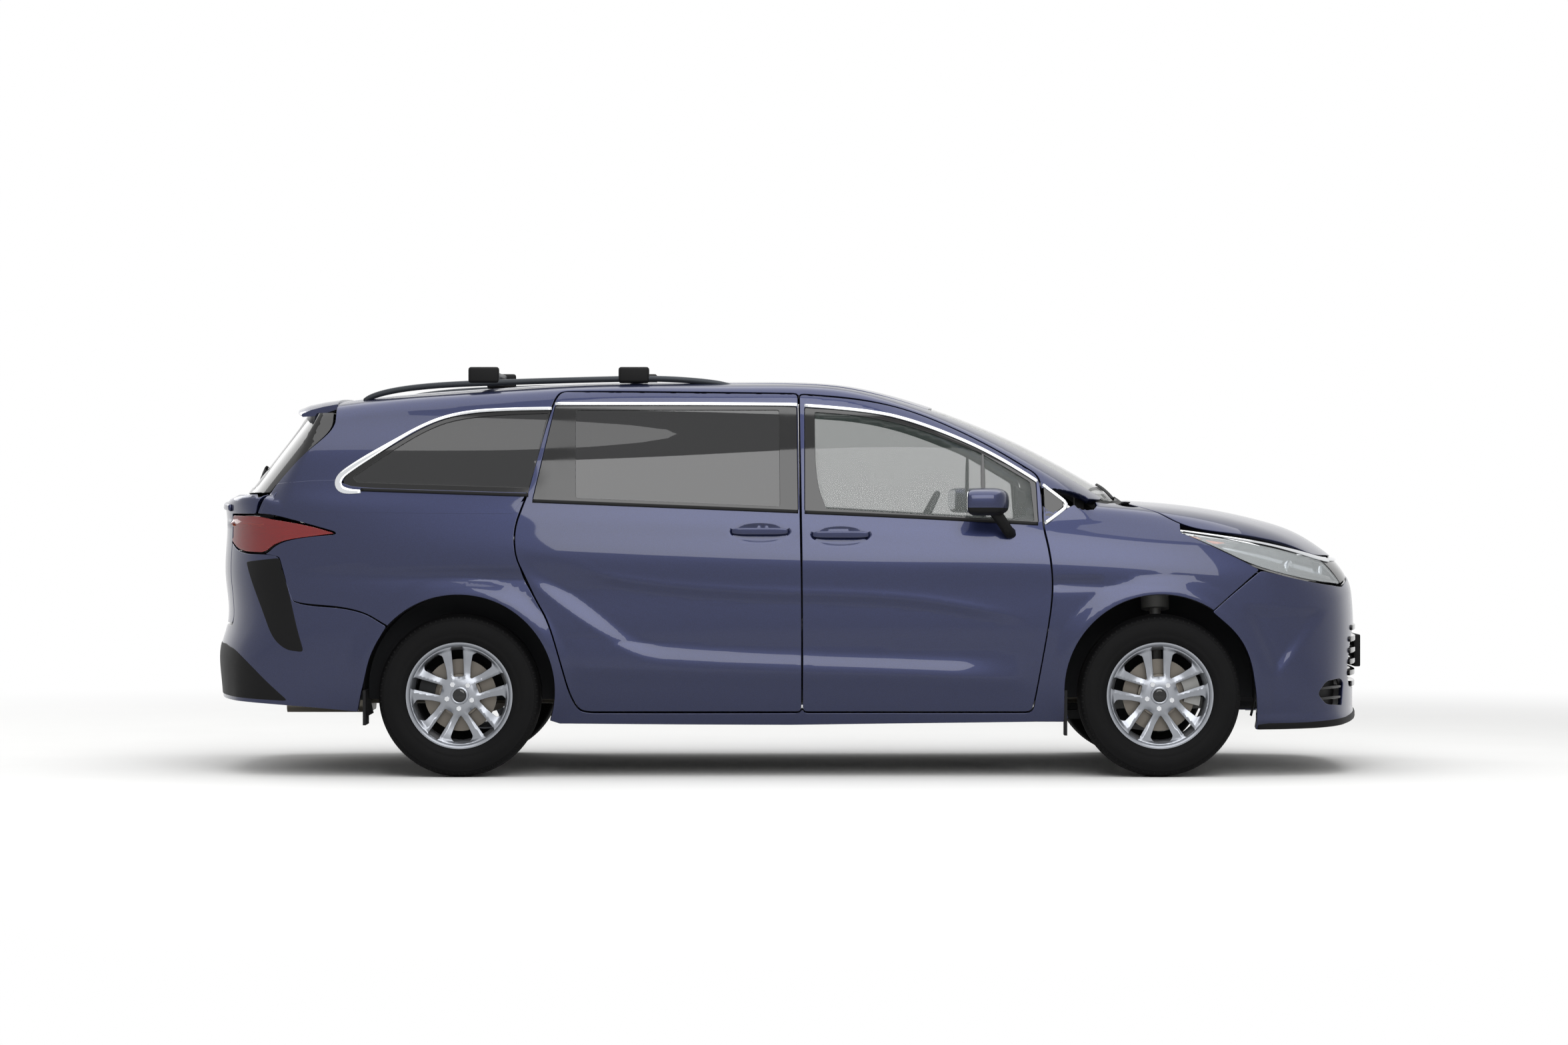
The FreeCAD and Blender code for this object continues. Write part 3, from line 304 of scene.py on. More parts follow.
def mesh_object(name, spots, faces, normals=None, kinds=None, materials=()):
    """A mesh from points in millimetres, with its own normals and a material for each face."""
    mesh = bpy.data.meshes.new(name)
    mesh.from_pydata((np.asarray(spots) * MM).tolist(), [], [tuple(f) for f in faces])
    for material in materials:
        mesh.materials.append(material)
    if kinds is not None:
        mesh.polygons.foreach_set("material_index", np.asarray(kinds, np.int32))
    mesh.polygons.foreach_set("use_smooth", np.ones(len(mesh.polygons), bool))
    mesh.update()
    if normals is not None:
        mesh.normals_split_custom_set_from_vertices(np.asarray(normals).tolist())
    made = bpy.data.objects.new(name, mesh)
    bpy.context.scene.collection.objects.link(made)
    return made


def faced_outwards(made, merge=False):
    """Turns a closed piece's faces outwards, after its doubles are merged where asked."""
    mend = bmesh.new()
    mend.from_mesh(made.data)
    if merge:
        bmesh.ops.remove_doubles(mend, verts=mend.verts, dist=0.00001)
    bmesh.ops.recalc_face_normals(mend, faces=mend.faces)
    mend.to_mesh(made.data)
    mend.free()


def steadied(spots, faces, step):
    """The points with any that a grazing ray threw far off brought back between their neighbours."""
    ends = np.concatenate([faces[:, [0, 1]], faces[:, [1, 2]], faces[:, [2, 0]]])
    ends = np.concatenate([ends, ends[:, ::-1]])
    spots = spots.copy()
    for _ in range(4):
        length = np.linalg.norm(spots[ends[:, 0]] - spots[ends[:, 1]], axis=1)
        count = np.maximum(np.bincount(ends[:, 0], minlength=len(spots)), 1)
        stray = np.bincount(ends[:, 0], length, len(spots)) / count > 2.2 * step
        if not stray.any():
            break
        good = ends[~stray[ends[:, 1]]]
        shares = np.bincount(good[:, 0], minlength=len(spots))
        total = np.stack([np.bincount(good[:, 0], spots[good[:, 1], k], len(spots))
                          for k in range(3)], 1)
        moved = stray & (shares > 0)
        spots[moved] = total[moved] / shares[moved][:, None]
    return spots


def shell(name, keep, cut, place, wall, materials, step=22.0, edge=3.0, lines=(), middle=(0, 0, 700)):
    """A panel of its real thickness, with rounded edges, laid on a form by place."""
    flat, faces = triangles(keep, cut, step, lines)
    longest_side = 9 * step
    reach = 1.5
    spots = steadied(place(flat), faces, step)
    corners = spots[faces]
    longest = np.linalg.norm(corners - np.roll(corners, 1, 1), axis=2).max(1)
    faces = faces[longest < longest_side]
    right = place(flat + (reach, 0)) - spots
    up = place(flat + (0, reach)) - spots
    normals = np.cross(right, up)
    normals /= np.linalg.norm(normals, axis=1)[:, None] + 1e-12
    turned_round = (normals * (spots - np.array(middle))).sum() < 0
    if isinstance(place, (View, Round)):
        steady = slope_of(spots) * (-1 if turned_round else 1)
        wild = (normals * steady).sum(1) < 0.8
        normals[wild] = steady[wild]
    count = len(spots)
    sides = np.concatenate([faces[:, [0, 1]], faces[:, [1, 2]], faces[:, [2, 0]]])
    codes = sides[:, 0] * count + sides[:, 1]
    rim = sides[~np.isin(codes, sides[:, 1] * count + sides[:, 0])]
    after = dict(rim.tolist())
    before = {b: a for a, b in after.items()}
    ring = np.array(sorted(set(after) & set(before)))
    tangent = spots[[after[k] for k in ring]] - spots[[before[k] for k in ring]]
    tangent /= np.linalg.norm(tangent, axis=1)[:, None] + 1e-12
    out = np.cross(tangent, normals[ring])
    out /= np.linalg.norm(out, axis=1)[:, None] + 1e-12
    if turned_round:
        normals = -normals
    edge = min(edge, wall / 2)
    base = spots[ring]
    square = normals[ring]
    inner = spots - normals * wall
    inner[ring] = base - square * wall
    spots = spots.copy()
    spots[ring] = base - out * edge
    rings = [base - out * edge * 0.293 - square * edge * 0.293, base - square * edge,
             base - square * wall]
    number = {int(k): n for n, k in enumerate(ring)}
    first = [2 * count, 2 * count + len(ring), 2 * count + 2 * len(ring)]
    levels = [lambda k: k, lambda k: first[0] + number[k], lambda k: first[1] + number[k],
              lambda k: first[2] + number[k], lambda k: count + k]
    made, kinds = faces.tolist(), [0] * len(faces)
    for a, b in rim.tolist():
        if a not in number or b not in number:
            continue
        for upper, lower in zip(levels[:3], levels[1:4]):
            made.append([upper(b), upper(a), lower(a), lower(b)])
            kinds.append(0)
    inner_number = np.arange(count) + count
    for k, n in number.items():
        inner_number[k] = first[2] + n
    made += [[int(inner_number[c]), int(inner_number[b]), int(inner_number[a])] for a, b, c in faces]
    kinds += [min(1, len(materials) - 1)] * len(faces)
    every = np.concatenate([spots, inner, *rings])
    lean = (square + out) / np.sqrt(2)
    every_normal = np.concatenate([normals, -normals, lean, out, (out - square) / np.sqrt(2)])
    if turned_round:
        made = [f[::-1] for f in made]
    used = np.unique(np.concatenate([np.array(f) for f in made]))
    renumber = np.zeros(len(every), int)
    renumber[used] = np.arange(len(used))
    made = [[int(renumber[k]) for k in f] for f in made]
    return mesh_object(name, every[used], made, every_normal[used], kinds, materials)


def copy_of(source, name, mirrored, shift=(0, 0, 0)):
    """A copy of a piece with its own normals, mirrored across the car where asked, then moved."""
    mesh = source.data
    spots = np.array([v.co for v in mesh.vertices]) / MM
    normals = np.zeros(len(mesh.loops) * 3, np.float32)
    mesh.corner_normals.foreach_get("vector", normals)
    normals = normals.reshape(-1, 3)
    faces = [list(p.vertices) for p in mesh.polygons]
    kinds = [p.material_index for p in mesh.polygons]
    if mirrored:
        order = [k for p in mesh.polygons for k in reversed(p.loop_indices)]
        spots, normals, faces = spots * ACROSS, normals[order] * ACROSS, [f[::-1] for f in faces]
    made = mesh_object(name, spots + shift, faces, None, kinds, list(mesh.materials))
    made.data.normals_split_custom_set(normals.tolist())
    return made


def slope_of(spots):
    """The outward direction of the body's surface at points on it."""
    around = [body_field(spots + step) - body_field(spots - step) for step in np.eye(3) * 2.0]
    slope = np.stack(around, 1)
    return slope / (np.linalg.norm(slope, axis=1)[:, None] + 1e-12)


def pressed(spots, relief, depth):
    """Points of the plain body moved by its pressed relief, then in by a depth."""
    slope = slope_of(spots) if depth else 0
    if relief is not None:
        spots = spots + relief(spots)
    return spots - slope * depth


class View:
    """Parallel rays that lay flat points on the body, and the way back to flat points."""

    def __init__(self, inwards, relief=None, depth=0.0):
        self.inwards = np.array(inwards, float) / np.linalg.norm(inwards)
        self.level = np.array((0.0, 1, 0) if abs(self.inwards[0]) > 0.7 else (1.0, 0, 0))
        self.upward = np.cross(self.inwards, self.level)
        if abs(self.inwards[2]) < 0.9:
            self.upward *= np.sign(self.upward[2])
        self.relief, self.depth = relief, depth
        self.back = {0: 2700.0, 1: 1250.0, 2: 1900.0}[int(np.argmax(np.abs(self.inwards)))]

    def __call__(self, flat):
        start = np.outer(flat[:, 0], self.level) + np.outer(flat[:, 1], self.upward)
        aim = np.tile(self.inwards, (len(flat), 1))
        spots = cast(start - aim * self.back, aim, self.back + 60)
        return pressed(spots, self.relief, self.depth)

    def flat(self, spots):
        spots = np.asarray(spots, float)
        return np.stack([spots @ self.level, spots @ self.upward], 1)

    def twin(self, flat):
        return flat * ((-1, 1) if self.level[1] else (1, -1))


class Round:
    """Level rays towards an upright axis, for the body's ends; flat points are arc and height."""

    def __init__(self, centre_x, facing, relief=None, depth=0.0):
        self.centre_x, self.facing, self.relief, self.depth = centre_x, facing, relief, depth

    def __call__(self, flat):
        angle = flat[:, 0] / ARC
        aim = -np.stack([self.facing * np.cos(angle), -np.sin(angle), 0 * angle], 1)
        start = np.stack([self.centre_x + 0 * angle, 0 * angle, flat[:, 1]], 1) - aim * ROUND_REACH
        return pressed(cast(start, aim, ROUND_REACH), self.relief, self.depth)

    def flat(self, spots):
        spots = np.asarray(spots, float)
        angle = np.arctan2(-spots[:, 1], self.facing * (spots[:, 0] - self.centre_x))
        return np.stack([angle * ARC, spots[:, 2]], 1)

    def twin(self, flat):
        return flat * (-1, 1)


ARC = 1000.0
ROUND_REACH = 1500.0
FAR_OUT = 2900.0
RAYS = {"s": ((0, 1, 0), lambda a, b: (a, -FAR_OUT, b)),
        "t": ((0, 0, -1), lambda a, b: (a, b, FAR_OUT)),
        "f": ((-1, 0, 0), lambda a, b: (FAR_OUT, a, b)),
        "b": ((1, 0, 0), lambda a, b: (-FAR_OUT, a, b))}


def spot_on(kind, a, b):
    """A point of the body: s is x and z from the right side, t is x and y from above, f and b are
    y and z from in front and from behind."""
    aim, begin = RAYS[kind]
    return cast(np.array([begin(a, b)], float), np.array([aim], float), FAR_OUT + 60)[0]


def loop_of(view, points, whole=False, step=15.0):
    """A view's outline through points of the body, with a mirrored left half if it is whole."""
    flat = [(*view.flat([spot_on(*p[:3])])[0], *p[3:]) for p in points]
    if whole:
        flat += [(*view.twin(np.array(p[:2])), *p[2:]) for p in reversed(flat)]
        flat = [p for k, p in enumerate(flat) if math.dist(p[:2], flat[k - 1][:2]) > 3]
    return rounded(flat, step)


def sides(points):
    """Body points from their x and z on the right side."""
    return [("s", *p) for p in points]


# Side panels and doors
# Pressed steel skins over closed inner frames, in dark blue metallic enamel under clear lacquer. The
# doors carry a hollow under their crease, the fenders and quarters a flare round each arch.
ARCH_Z = 381.0
ARCH_R = 419.0
HUBS_X = (1612.5, -1448.5)
CREASE_TOP = spline((-1300, -751, 39, 621, 1034, 1300), (985, 869, 807, 771, 705, 690))
CREASE_LOW = spline((-1400, -1170, -900, -649, -480, -300, 1000, 1300),
                    (1090, 956, 765, 605, 578, 568, 520, 505))
SILL_CREST = spline((-1300, -732, -309, 400, 1000, 1300), (505, 486, 471, 458, 440, 435))
HOLLOW = 15.0
CREST = 11.0
FLARE = 15.0
SHUT_GAP = 5.0
HANDLES = {"front": (217, 1061, "front_door_right"), "slide": (-135, 1075, "body")}
HANDLE_HALF = (141, 44)
HANDLE_DEPTH = 15.0


def eased(low, high, value):
    """A smooth rise from 0 to 1 between two values."""
    t = np.clip((value - low) / (high - low), 0, 1)
    return t * t * (3 - 2 * t)


def side_relief(x, z):
    """How far the pressed forms of the side stand out of the plain body."""
    over_low = z - CREASE_LOW(x)
    under_top = CREASE_TOP(x) - z
    front = 1 - eased(700, 1075, x)
    rear = eased(-1330, -1000, x)
    sharp = eased(-1000, -751, x)
    lip = 6 + 60 * (1 - sharp)
    hollow = eased(-95, 10, over_low) * eased(-2 - 50 * (1 - sharp), lip + 45, under_top)
    made = -HOLLOW * hollow * front * rear
    made += 2.2 * np.exp(-(np.maximum(under_top, 0) / 9) ** 2 - (np.maximum(-under_top, 0) / 22) ** 2) \
        * sharp * front
    crest = z - SILL_CREST(x)
    edge = np.where(crest > 0, np.maximum(0, 1 - crest / 110), np.exp(-(crest / 60) ** 2))
    made += CREST * edge * eased(-1060, -900, x) * (1 - eased(950, 1090, x))
    for hub_x in HUBS_X:
        away = np.hypot(x - hub_x, z - ARCH_Z)
        above = eased(-260, -60, z - ARCH_Z)
        made += FLARE * (1 - eased(425, 512, away)) * above
    for middle_x, middle_z, *_ in HANDLES.values():
        away = np.hypot((x - middle_x) / HANDLE_HALF[0], (z - middle_z) / HANDLE_HALF[1])
        made -= HANDLE_DEPTH * (1 - eased(0.72, 1.0, away))
    return made


def side_form(spots):
    """The move of side points by the pressed forms."""
    moved = np.zeros_like(spots)
    moved[:, 1] = side_relief(spots[:, 0], spots[:, 2]) * np.sign(spots[:, 1])
    return moved


FRONT_DOOR = ((1052, 286, 30), (1062, 324), (1131, 714), (1140, 853), (1127, 982), (1098, 1103),
              (1100, 1200), (1085, 1318, 40), (841, 1467), (567, 1592), (343, 1650), (38, 1676, 20),
              (46, 1165, 1), (52, 776), (52, 286, 20))
SLIDE_DOOR = ((30, 1678, 20), (39, 1165, 1), (46, 776), (46, 286, 20), (-889, 286, 40), (-930, 299),
              (-966, 372), (-997, 487), (-1054, 684), (-1109, 776), (-1162, 891), (-1199, 966),
              (-1205, 1082), (-1164, 1198), (-1151, 1229), (-1052, 1624), (-1011, 1688, 25))
FRONT_LIGHT = ((60, 1164, 6), (60, 1619, 8), (343, 1600), (567, 1545), (841, 1432), (1057, 1302),
               (1074, 1289, 6), (1082, 1113, 6))
SLIDE_LIGHT = ((26, 1622, 8), (32, 1166, 6), (-1128, 1213, 8), (-1037, 1627, 8), (-106, 1628))
FRONT_PANE = ((101, 1603, 12), (343, 1585), (567, 1531), (830, 1425, 10), (848, 1414, 10),
              (1052, 1292, 14), (1068, 1116, 12), (151, 1172, 12), (104, 1300))
SLIDE_PANE = ((-950, 1612, 14), (-48, 1612, 14), (-44, 1180, 14), (-943, 1218, 14))
QUARTER_LIGHT = ((-1055, 1607, 8), (-1148, 1238, 8), (-1930, 1262, 40), (-1968, 1290, 30),
                 (-1935, 1335), (-1755, 1447), (-1620, 1530), (-1491, 1581), (-1300, 1604))
QUARTER_HOLE = [(-1055, 1607, 8), (-1148, 1246, 8), (-1300, 1248), (-1450, 1252), (-1600, 1256),
                (-1750, 1260), *QUARTER_LIGHT[2:]]
QUARTER_PANE = ((-1064, 1598, 10), (-1140, 1262, 10), (-1900, 1286, 14), (-1925, 1312, 20),
                (-1745, 1436), (-1612, 1518), (-1491, 1567), (-1300, 1590))
HOOD = ((1535, 0), (1530, -300), (1512, -560), (1488, -700), (1560, -815))
HOOD_SIDE = ((1712, 1089), (1979, 1051), (2230, 992))
HOOD_FRONT = ((-640, 958), (-330, 954), (0, 951))
TAIL_LAMP = ((-1982, 1066, 12), (-2120, 1104), (-2343, 1144, 20), (-2700, 1144, 1), (-2700, 1032, 1),
             (-2485, 1036, 20), (-2420, 980), (-2300, 976, 20), (-2230, 1036))


def srgb(code):
    """A linear colour from its written value."""
    parts = [int(code[k:k + 2], 16) / 255 for k in (1, 3, 5)]
    return (*[c / 12.92 if c <= 0.04045 else ((c + 0.055) / 1.055) ** 2.4 for c in parts], 1)


def add(tree, kind, links=(), **settings):
    """A node with its settings, and its sockets' values or links."""
    made = tree.nodes.new(kind)
    for name, value in settings.items():
        setattr(made, name, value)
    for socket, source in dict(links).items():
        if isinstance(source, bpy.types.NodeSocket):
            tree.links.new(source, made.inputs[socket])
        else:
            made.inputs[socket].default_value = source
    return made


def blank(name):
    """A new material with an empty node tree."""
    made = bpy.data.materials.new(name)
    made.use_nodes = True
    made.node_tree.nodes.clear()
    return made


# Metallic enamel: flakes of about 0.1 mm are drawn near 1 mm so that they show as a soft sparkle
paint = blank("dark_blue_metallic_enamel")
tree = paint.node_tree
where = add(tree, "ShaderNodeTexCoord").outputs["Object"]
flakes = add(tree, "ShaderNodeTexVoronoi", {"Vector": where, "Scale": 900.0}, feature="F1")
tone = add(tree, "ShaderNodeMapRange", {"Value": flakes.outputs["Color"], "To Min": 0.0, "To Max": 1.0})
colour = add(tree, "ShaderNodeMix", {0: tone.outputs["Result"], 6: srgb("#151a36"), 7: srgb("#222a4f")},
             data_type="RGBA")
shader = add(tree, "ShaderNodeBsdfPrincipled",
             {"Base Color": colour.outputs[2], "Metallic": 0.75, "Roughness": 0.34,
              "Coat Weight": 0.7, "Coat Roughness": 0.02, "Coat IOR": 1.5})
add(tree, "ShaderNodeOutputMaterial", {"Surface": shader.outputs[0]})

# Moulded door and pillar lining, dull, with a grain of a few millimetres that softens its highlights
trim = blank("grey_moulded_lining")
tree = trim.node_tree
where = add(tree, "ShaderNodeTexCoord").outputs["Object"]
grain = add(tree, "ShaderNodeTexNoise", {"Vector": where, "Scale": 400.0, "Detail": 3.0})
bump = add(tree, "ShaderNodeBump", {"Height": grain.outputs[0], "Strength": 0.25, "Distance": 0.0005})
shader = add(tree, "ShaderNodeBsdfPrincipled",
             {"Base Color": srgb("#3a3a3d"), "Roughness": 0.65, "Normal": bump.outputs[0]})
add(tree, "ShaderNodeOutputMaterial", {"Surface": shader.outputs[0]})

side_view = View((0, 1, 0), side_form)
slanted = View((0, math.cos(math.radians(32)), -math.sin(math.radians(32))), side_form)
top_view = View((0, 0, -1))


def arch_loop(view, hub_x):
    """A wheel arch's edge, open below."""
    turns = np.radians(np.arange(-20, 201, 4.0))
    points = [("s", hub_x + ARCH_R * math.cos(t), ARCH_Z + ARCH_R * math.sin(t), 1) for t in turns]
    return loop_of(view, [*points, ("s", hub_x - 410, 60, 1), ("s", hub_x + 410, 60, 1)])


HOOD_POINTS = [*[("t", *p) for p in HOOD], *sides(HOOD_SIDE), *[("f", *p) for p in HOOD_FRONT]]
hood_loop = loop_of(top_view, HOOD_POINTS, True)
hood_slant = slanted.flat(top_view(hood_loop))
FENDER_EDGE = [*sides(((1066, 240, 8), (1066, 300), (1076, 330), (1145, 714), (1154, 853), (1141, 982),
                       (1112, 1100, 8), (1200, 1172, 30))),
               ("t", 1390, -760, 40), ("t", 1500, -650, 10), ("t", 1704, -790, 10),
               *sides(((1704, 1070, 6), (1860, 1000), (2047, 907, 12), (1946, 820), (1838, 728, 1),
                       (1700, 560, 1), (1300, 330, 1), (1190, 240, 1)))]
QUARTER_EDGE = [("t", -2000, -628, 4), ("t", -1000, -630), ("t", 0, -630), ("t", 610, -618, 10),
                ("t", 1000, -657), ("t", 1372, -702, 8), ("t", 1360, -760, 20),
                *sides(((1206, 1179, 30), (1118, 1106, 6), (1148, 982), (1161, 853), (1152, 714),
                        (1083, 330), (1073, 300), (1073, 240, 1), (0, 226, 1), (-1010, 232, 1),
                        (-1300, 330, 1), (-1500, 500, 1), (-1757, 664, 4), (-1890, 740), (-2167, 757),
                        (-2190, 798), (-2236, 962, 10), (-2300, 974, 1), (-2340, 1060, 1),
                        (-2340, 1146, 4), (-2266, 1279), (-2090, 1450), (-2006, 1530), (-2003, 1596, 4)))]


def oval(middle, half, share):
    """A closed line of an oval's edge, its first point again at its end."""
    turns = np.linspace(0, 2 * np.pi, 49)
    return np.stack([middle[0] + half[0] * share * np.cos(turns),
                     middle[1] + half[1] * share * np.sin(turns)], 1)


def door_skin(name, outline, light, crease_ends, sill_ends):
    """A door's panel, its mesh turning exactly along its crease, its sill and its handle's recess."""
    lines = []
    for (x0, x1), edge, offsets in ((crease_ends, CREASE_TOP, (-14, 0, 16)),
                                    (sill_ends, SILL_CREST, (-16, 0, 18))):
        xs = np.arange(x0, x1 + 1, 18.0)
        lines += [np.stack([xs, edge(xs) + k], 1) for k in offsets]
    lines += [oval(HANDLES[name], HANDLE_HALF, k) for k in (0.72, 0.86, 1.0)]
    return shell(f"{name}_door_skin_right", rounded(outline), [rounded(light)], side_view, 44,
                 (paint, trim), step=18, lines=lines)


front_door_skin = door_skin("front", FRONT_DOOR, FRONT_LIGHT, (72, 1020), (72, 930))
slide_door_skin = door_skin("slide", SLIDE_DOOR, SLIDE_LIGHT, (-745, 20), (-880, 20))
# The hood's rear corner dips as it opens, so the fender stands off it there
hood_corner = oval(slanted.flat([spot_on("t", 1490, -728)])[0], (56, 52), 1)[:-1]
fender_skin = shell("fender_skin_right", loop_of(slanted, FENDER_EDGE),
                    [arch_loop(slanted, HUBS_X[0]), grown(hood_slant, SHUT_GAP), hood_corner], slanted,
                    12, (paint, trim))
side_cuts = [grown(loop_of(slanted, sides(p)), SHUT_GAP) for p in (FRONT_DOOR, SLIDE_DOOR, TAIL_LAMP)]
body_skin = shell("body_skin_right", loop_of(slanted, QUARTER_EDGE),
                  [arch_loop(slanted, HUBS_X[1]), *side_cuts, loop_of(slanted, sides(QUARTER_HOLE))],
                  slanted, 26, (paint, trim))

# Hood, roof and screen
# The hood and roof are steel panels in the body's enamel. The screen is laminated glass with a black
# fired band round its edge.
ROOF = ((642, 0), (640, -300), (606, -613, 12), (0, -625), (-1000, -625), (-2000, -622, 8), (-2012, 0))
SCREEN = ((1500, 0), (1480, -300), (1436, -560), (1384, -696, 20), (1000, -651), (612, -606, 16),
          (650, -300), (652, 0))
hood_skin = shell("hood_skin", hood_loop, [], top_view, 14, (paint, trim))
roof_skin = shell("roof_skin", loop_of(top_view, [("t", *p) for p in ROOF], True), [], top_view, 30,
                  (paint, trim), step=32)

# Finishes of glass, mouldings and bright parts
# Toughened glass, injection mouldings and plated strips, each as it leaves its maker.


def glass_like(name, colour, clearness, roughness=0.0):
    """Clear or tinted glass that keeps its reflections."""
    made = blank(name)
    tree = made.node_tree
    shader = add(tree, "ShaderNodeBsdfPrincipled",
                 {"Base Color": srgb(colour), "Roughness": roughness, "IOR": 1.5,
                  "Transmission Weight": 0.0, "Alpha": 1.0 - clearness, "Specular IOR Level": 0.6,
                  "Coat Weight": 0.2, "Coat Roughness": 0.02})
    add(tree, "ShaderNodeOutputMaterial", {"Surface": shader.outputs[0]})
    return made


def moulded(name, colour, roughness, grain_mm=0.0, metallic=0.0, depth=0.0002, shine=0.25):
    """Moulded, painted or plated stock, with a fine grain where it has one."""
    made = blank(name)
    tree = made.node_tree
    values = {"Base Color": srgb(colour), "Roughness": roughness, "Metallic": metallic,
              "Specular IOR Level": shine}
    where = add(tree, "ShaderNodeTexCoord").outputs["Object"]
    if grain_mm:
        grain = add(tree, "ShaderNodeTexNoise",
                    {"Vector": where, "Scale": 1000 / grain_mm / 3, "Detail": 4.0})
        bump = add(tree, "ShaderNodeBump",
                   {"Height": grain.outputs[0], "Strength": 0.5, "Distance": depth})
        values["Normal"] = bump.outputs[0]
        wear = add(tree, "ShaderNodeTexNoise", {"Vector": where, "Scale": 9.0, "Detail": 5.0})
        rough = add(tree, "ShaderNodeMapRange", {"Value": wear.outputs[0], "To Min": roughness - 0.06,
                                                 "To Max": roughness + 0.06})
        values["Roughness"] = rough.outputs[0]
    shader = add(tree, "ShaderNodeBsdfPrincipled", values)
    add(tree, "ShaderNodeOutputMaterial", {"Surface": shader.outputs[0]})
    return made


# The front doors' glass has a faint green tint, the glass behind them is near black, and the screen
# is clearer than either
green_glass = glass_like("green_toughened_glass", "#2e3a36", 0.72)
privacy_glass = glass_like("privacy_glass", "#0c0d0f", 0.12)
screen_glass = glass_like("laminated_screen_glass", "#33403c", 0.75)
# Polished black frames mirror the room, grained polypropylene stays dull, and plate is near a mirror
gloss_black = moulded("gloss_black_polycarbonate", "#050506", 0.06, 3.0, depth=0.00002, shine=0.5)
black_plastic = moulded("grained_black_polypropylene", "#0d0d0e", 0.55, 1.2, shine=0.15)
chrome = moulded("bright_chromium_plate", "#d6d8db", 0.07, 0.0, 1.0)
rubber = moulded("black_weather_seal", "#08080a", 0.7, 0.8)


# Bumpers and tailgate
# Moulded plastic covers in the body's enamel at both ends; the gate is a steel lid between them.
SCOOP = ((1947, 766), (2385, 743), (2115, 403))
SCOOP_DEPTH = 17.0
GRILLE = [("f", 0, 652, 1), ("f", -420, 652), ("f", -560, 606, 60), ("f", -632, 446, 60),
          ("f", -560, 370, 60), ("f", 0, 370)]
VENT = [("f", -676, 402, 10), ("f", -712, 424, 20), ("f", -806, 414, 20), ("f", -838, 360, 20),
        ("f", -800, 312, 20), ("f", -690, 304, 10)]


def nose_form(spots):
    """The front cover's forms: a scooped triangle beside each fog vent, and the arch's flare."""
    x, y, z = spots[:, 0], np.abs(spots[:, 1]), spots[:, 2]
    scoop = np.full(len(spots), SCOOP_DEPTH)
    for (x0, z0), (x1, z1) in zip(SCOOP, (*SCOOP[1:], SCOOP[0])):
        length = math.hypot(x1 - x0, z1 - z0)
        scoop = scoop * eased(0, 62, -((x1 - x0) * (z - z0) - (z1 - z0) * (x - x0)) / length)
    lip = 9 * np.exp(-((z - 246) / 22) ** 2)
    return slope_of(spots) * (lip - scoop)[:, None] + side_form(spots) * eased(650, 850, y)[:, None]


END_X = 1500
front_view = Round(END_X, 1, nose_form)
plain_front = Round(END_X, 1)
rear_view = Round(-END_X, -1, side_form)
BUMPER_TOP = [*sides(((1838, 724, 6), (1946, 816), (2052, 903, 14), (2275, 850))),
              ("f", -640, 824, 20), ("f", -560, 842), ("f", -300, 864), ("f", 0, 872)]
BUMPER_LOW = [("f", 0, 250), ("f", -500, 240), *sides(((2300, 208), (2036, 205, 4), (2031, 381, 1),
                                                      (2008, 520), (1950, 628)))]
grille_loop = loop_of(front_view, GRILLE, True)
vent_loop = loop_of(front_view, VENT)
vent_left = front_view.twin(vent_loop)
bumper_skin = shell("front_bumper_skin", loop_of(front_view, [*BUMPER_LOW, *BUMPER_TOP], True),
                    [grille_loop, vent_loop, vent_left], front_view, 18, (paint, trim), step=18)
GATE_LOW = [("b", 0, 660), ("b", -650, 665, 40), ("b", -655, 1040), ("b", -662, 1150, 10),
            *sides(((-2347, 1150, 10), (-2292, 1236, 8))), ("b", -400, 1232), ("b", 0, 1232)]
gate_skin = shell("tailgate_skin", loop_of(rear_view, GATE_LOW, True), [], rear_view, 40, (paint, trim))
GATE_HIGH = [("b", 0, 1240), ("b", -400, 1240),
             *sides(((-2290, 1243, 8), (-2090, 1452), (-2012, 1530), (-2012, 1596, 8))),
             ("b", -500, 1596), ("b", 0, 1596)]
REAR_LIGHT = [("b", 0, 1560), ("b", -540, 1556, 50), ("b", -600, 1500), ("b", -676, 1268, 40),
              ("b", 0, 1262)]
rear_hole = loop_of(rear_view, REAR_LIGHT, True)
gate_upper = shell("tailgate_upper", loop_of(rear_view, GATE_HIGH, True), [rear_hole], rear_view, 30,
                   (gloss_black, trim))
REAR_TOP = [*sides(((-1762, 660, 8), (-1890, 735), (-2165, 752), (-2185, 795), (-2240, 965, 20),
                    (-2290, 974), (-2420, 974), (-2480, 1028))),
            ("b", -660, 1026, 10), ("b", -655, 655, 40), ("b", 0, 650)]
REAR_LOW = [("b", 0, 335), *sides(((-2467, 330), (-2200, 311), (-1894, 284, 4), (-1867, 400),
                                   (-1835, 540)))]
rear_skin = shell("rear_bumper_skin", loop_of(rear_view, [*REAR_LOW, *REAR_TOP], True), [],
                  rear_view, 18, (paint, trim))

# Glazing
# Toughened side panes, green in the front doors and dark privacy glass behind, in gloss black frames
# with a bright strip over them.


def fitted(piece, body, finish, *stands_for):
    """Makes a piece ride on its body, in place of the solids it stands for; its finish is not used."""
    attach(piece, body)
    if stands_for:
        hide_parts(*stands_for)
    return piece


def fitted_pair(right, body, finish, *stands_for):
    """The same for a right-hand piece and its mirror image."""
    left = copy_of(right, right.name.replace("_right", "_left"), True)
    fitted(right, body, finish, *stands_for)
    fitted(left, body.replace("_right", "_left"), finish,
           *[n.replace("_right", "_left") for n in stands_for if "_right" in n])
    return right, left


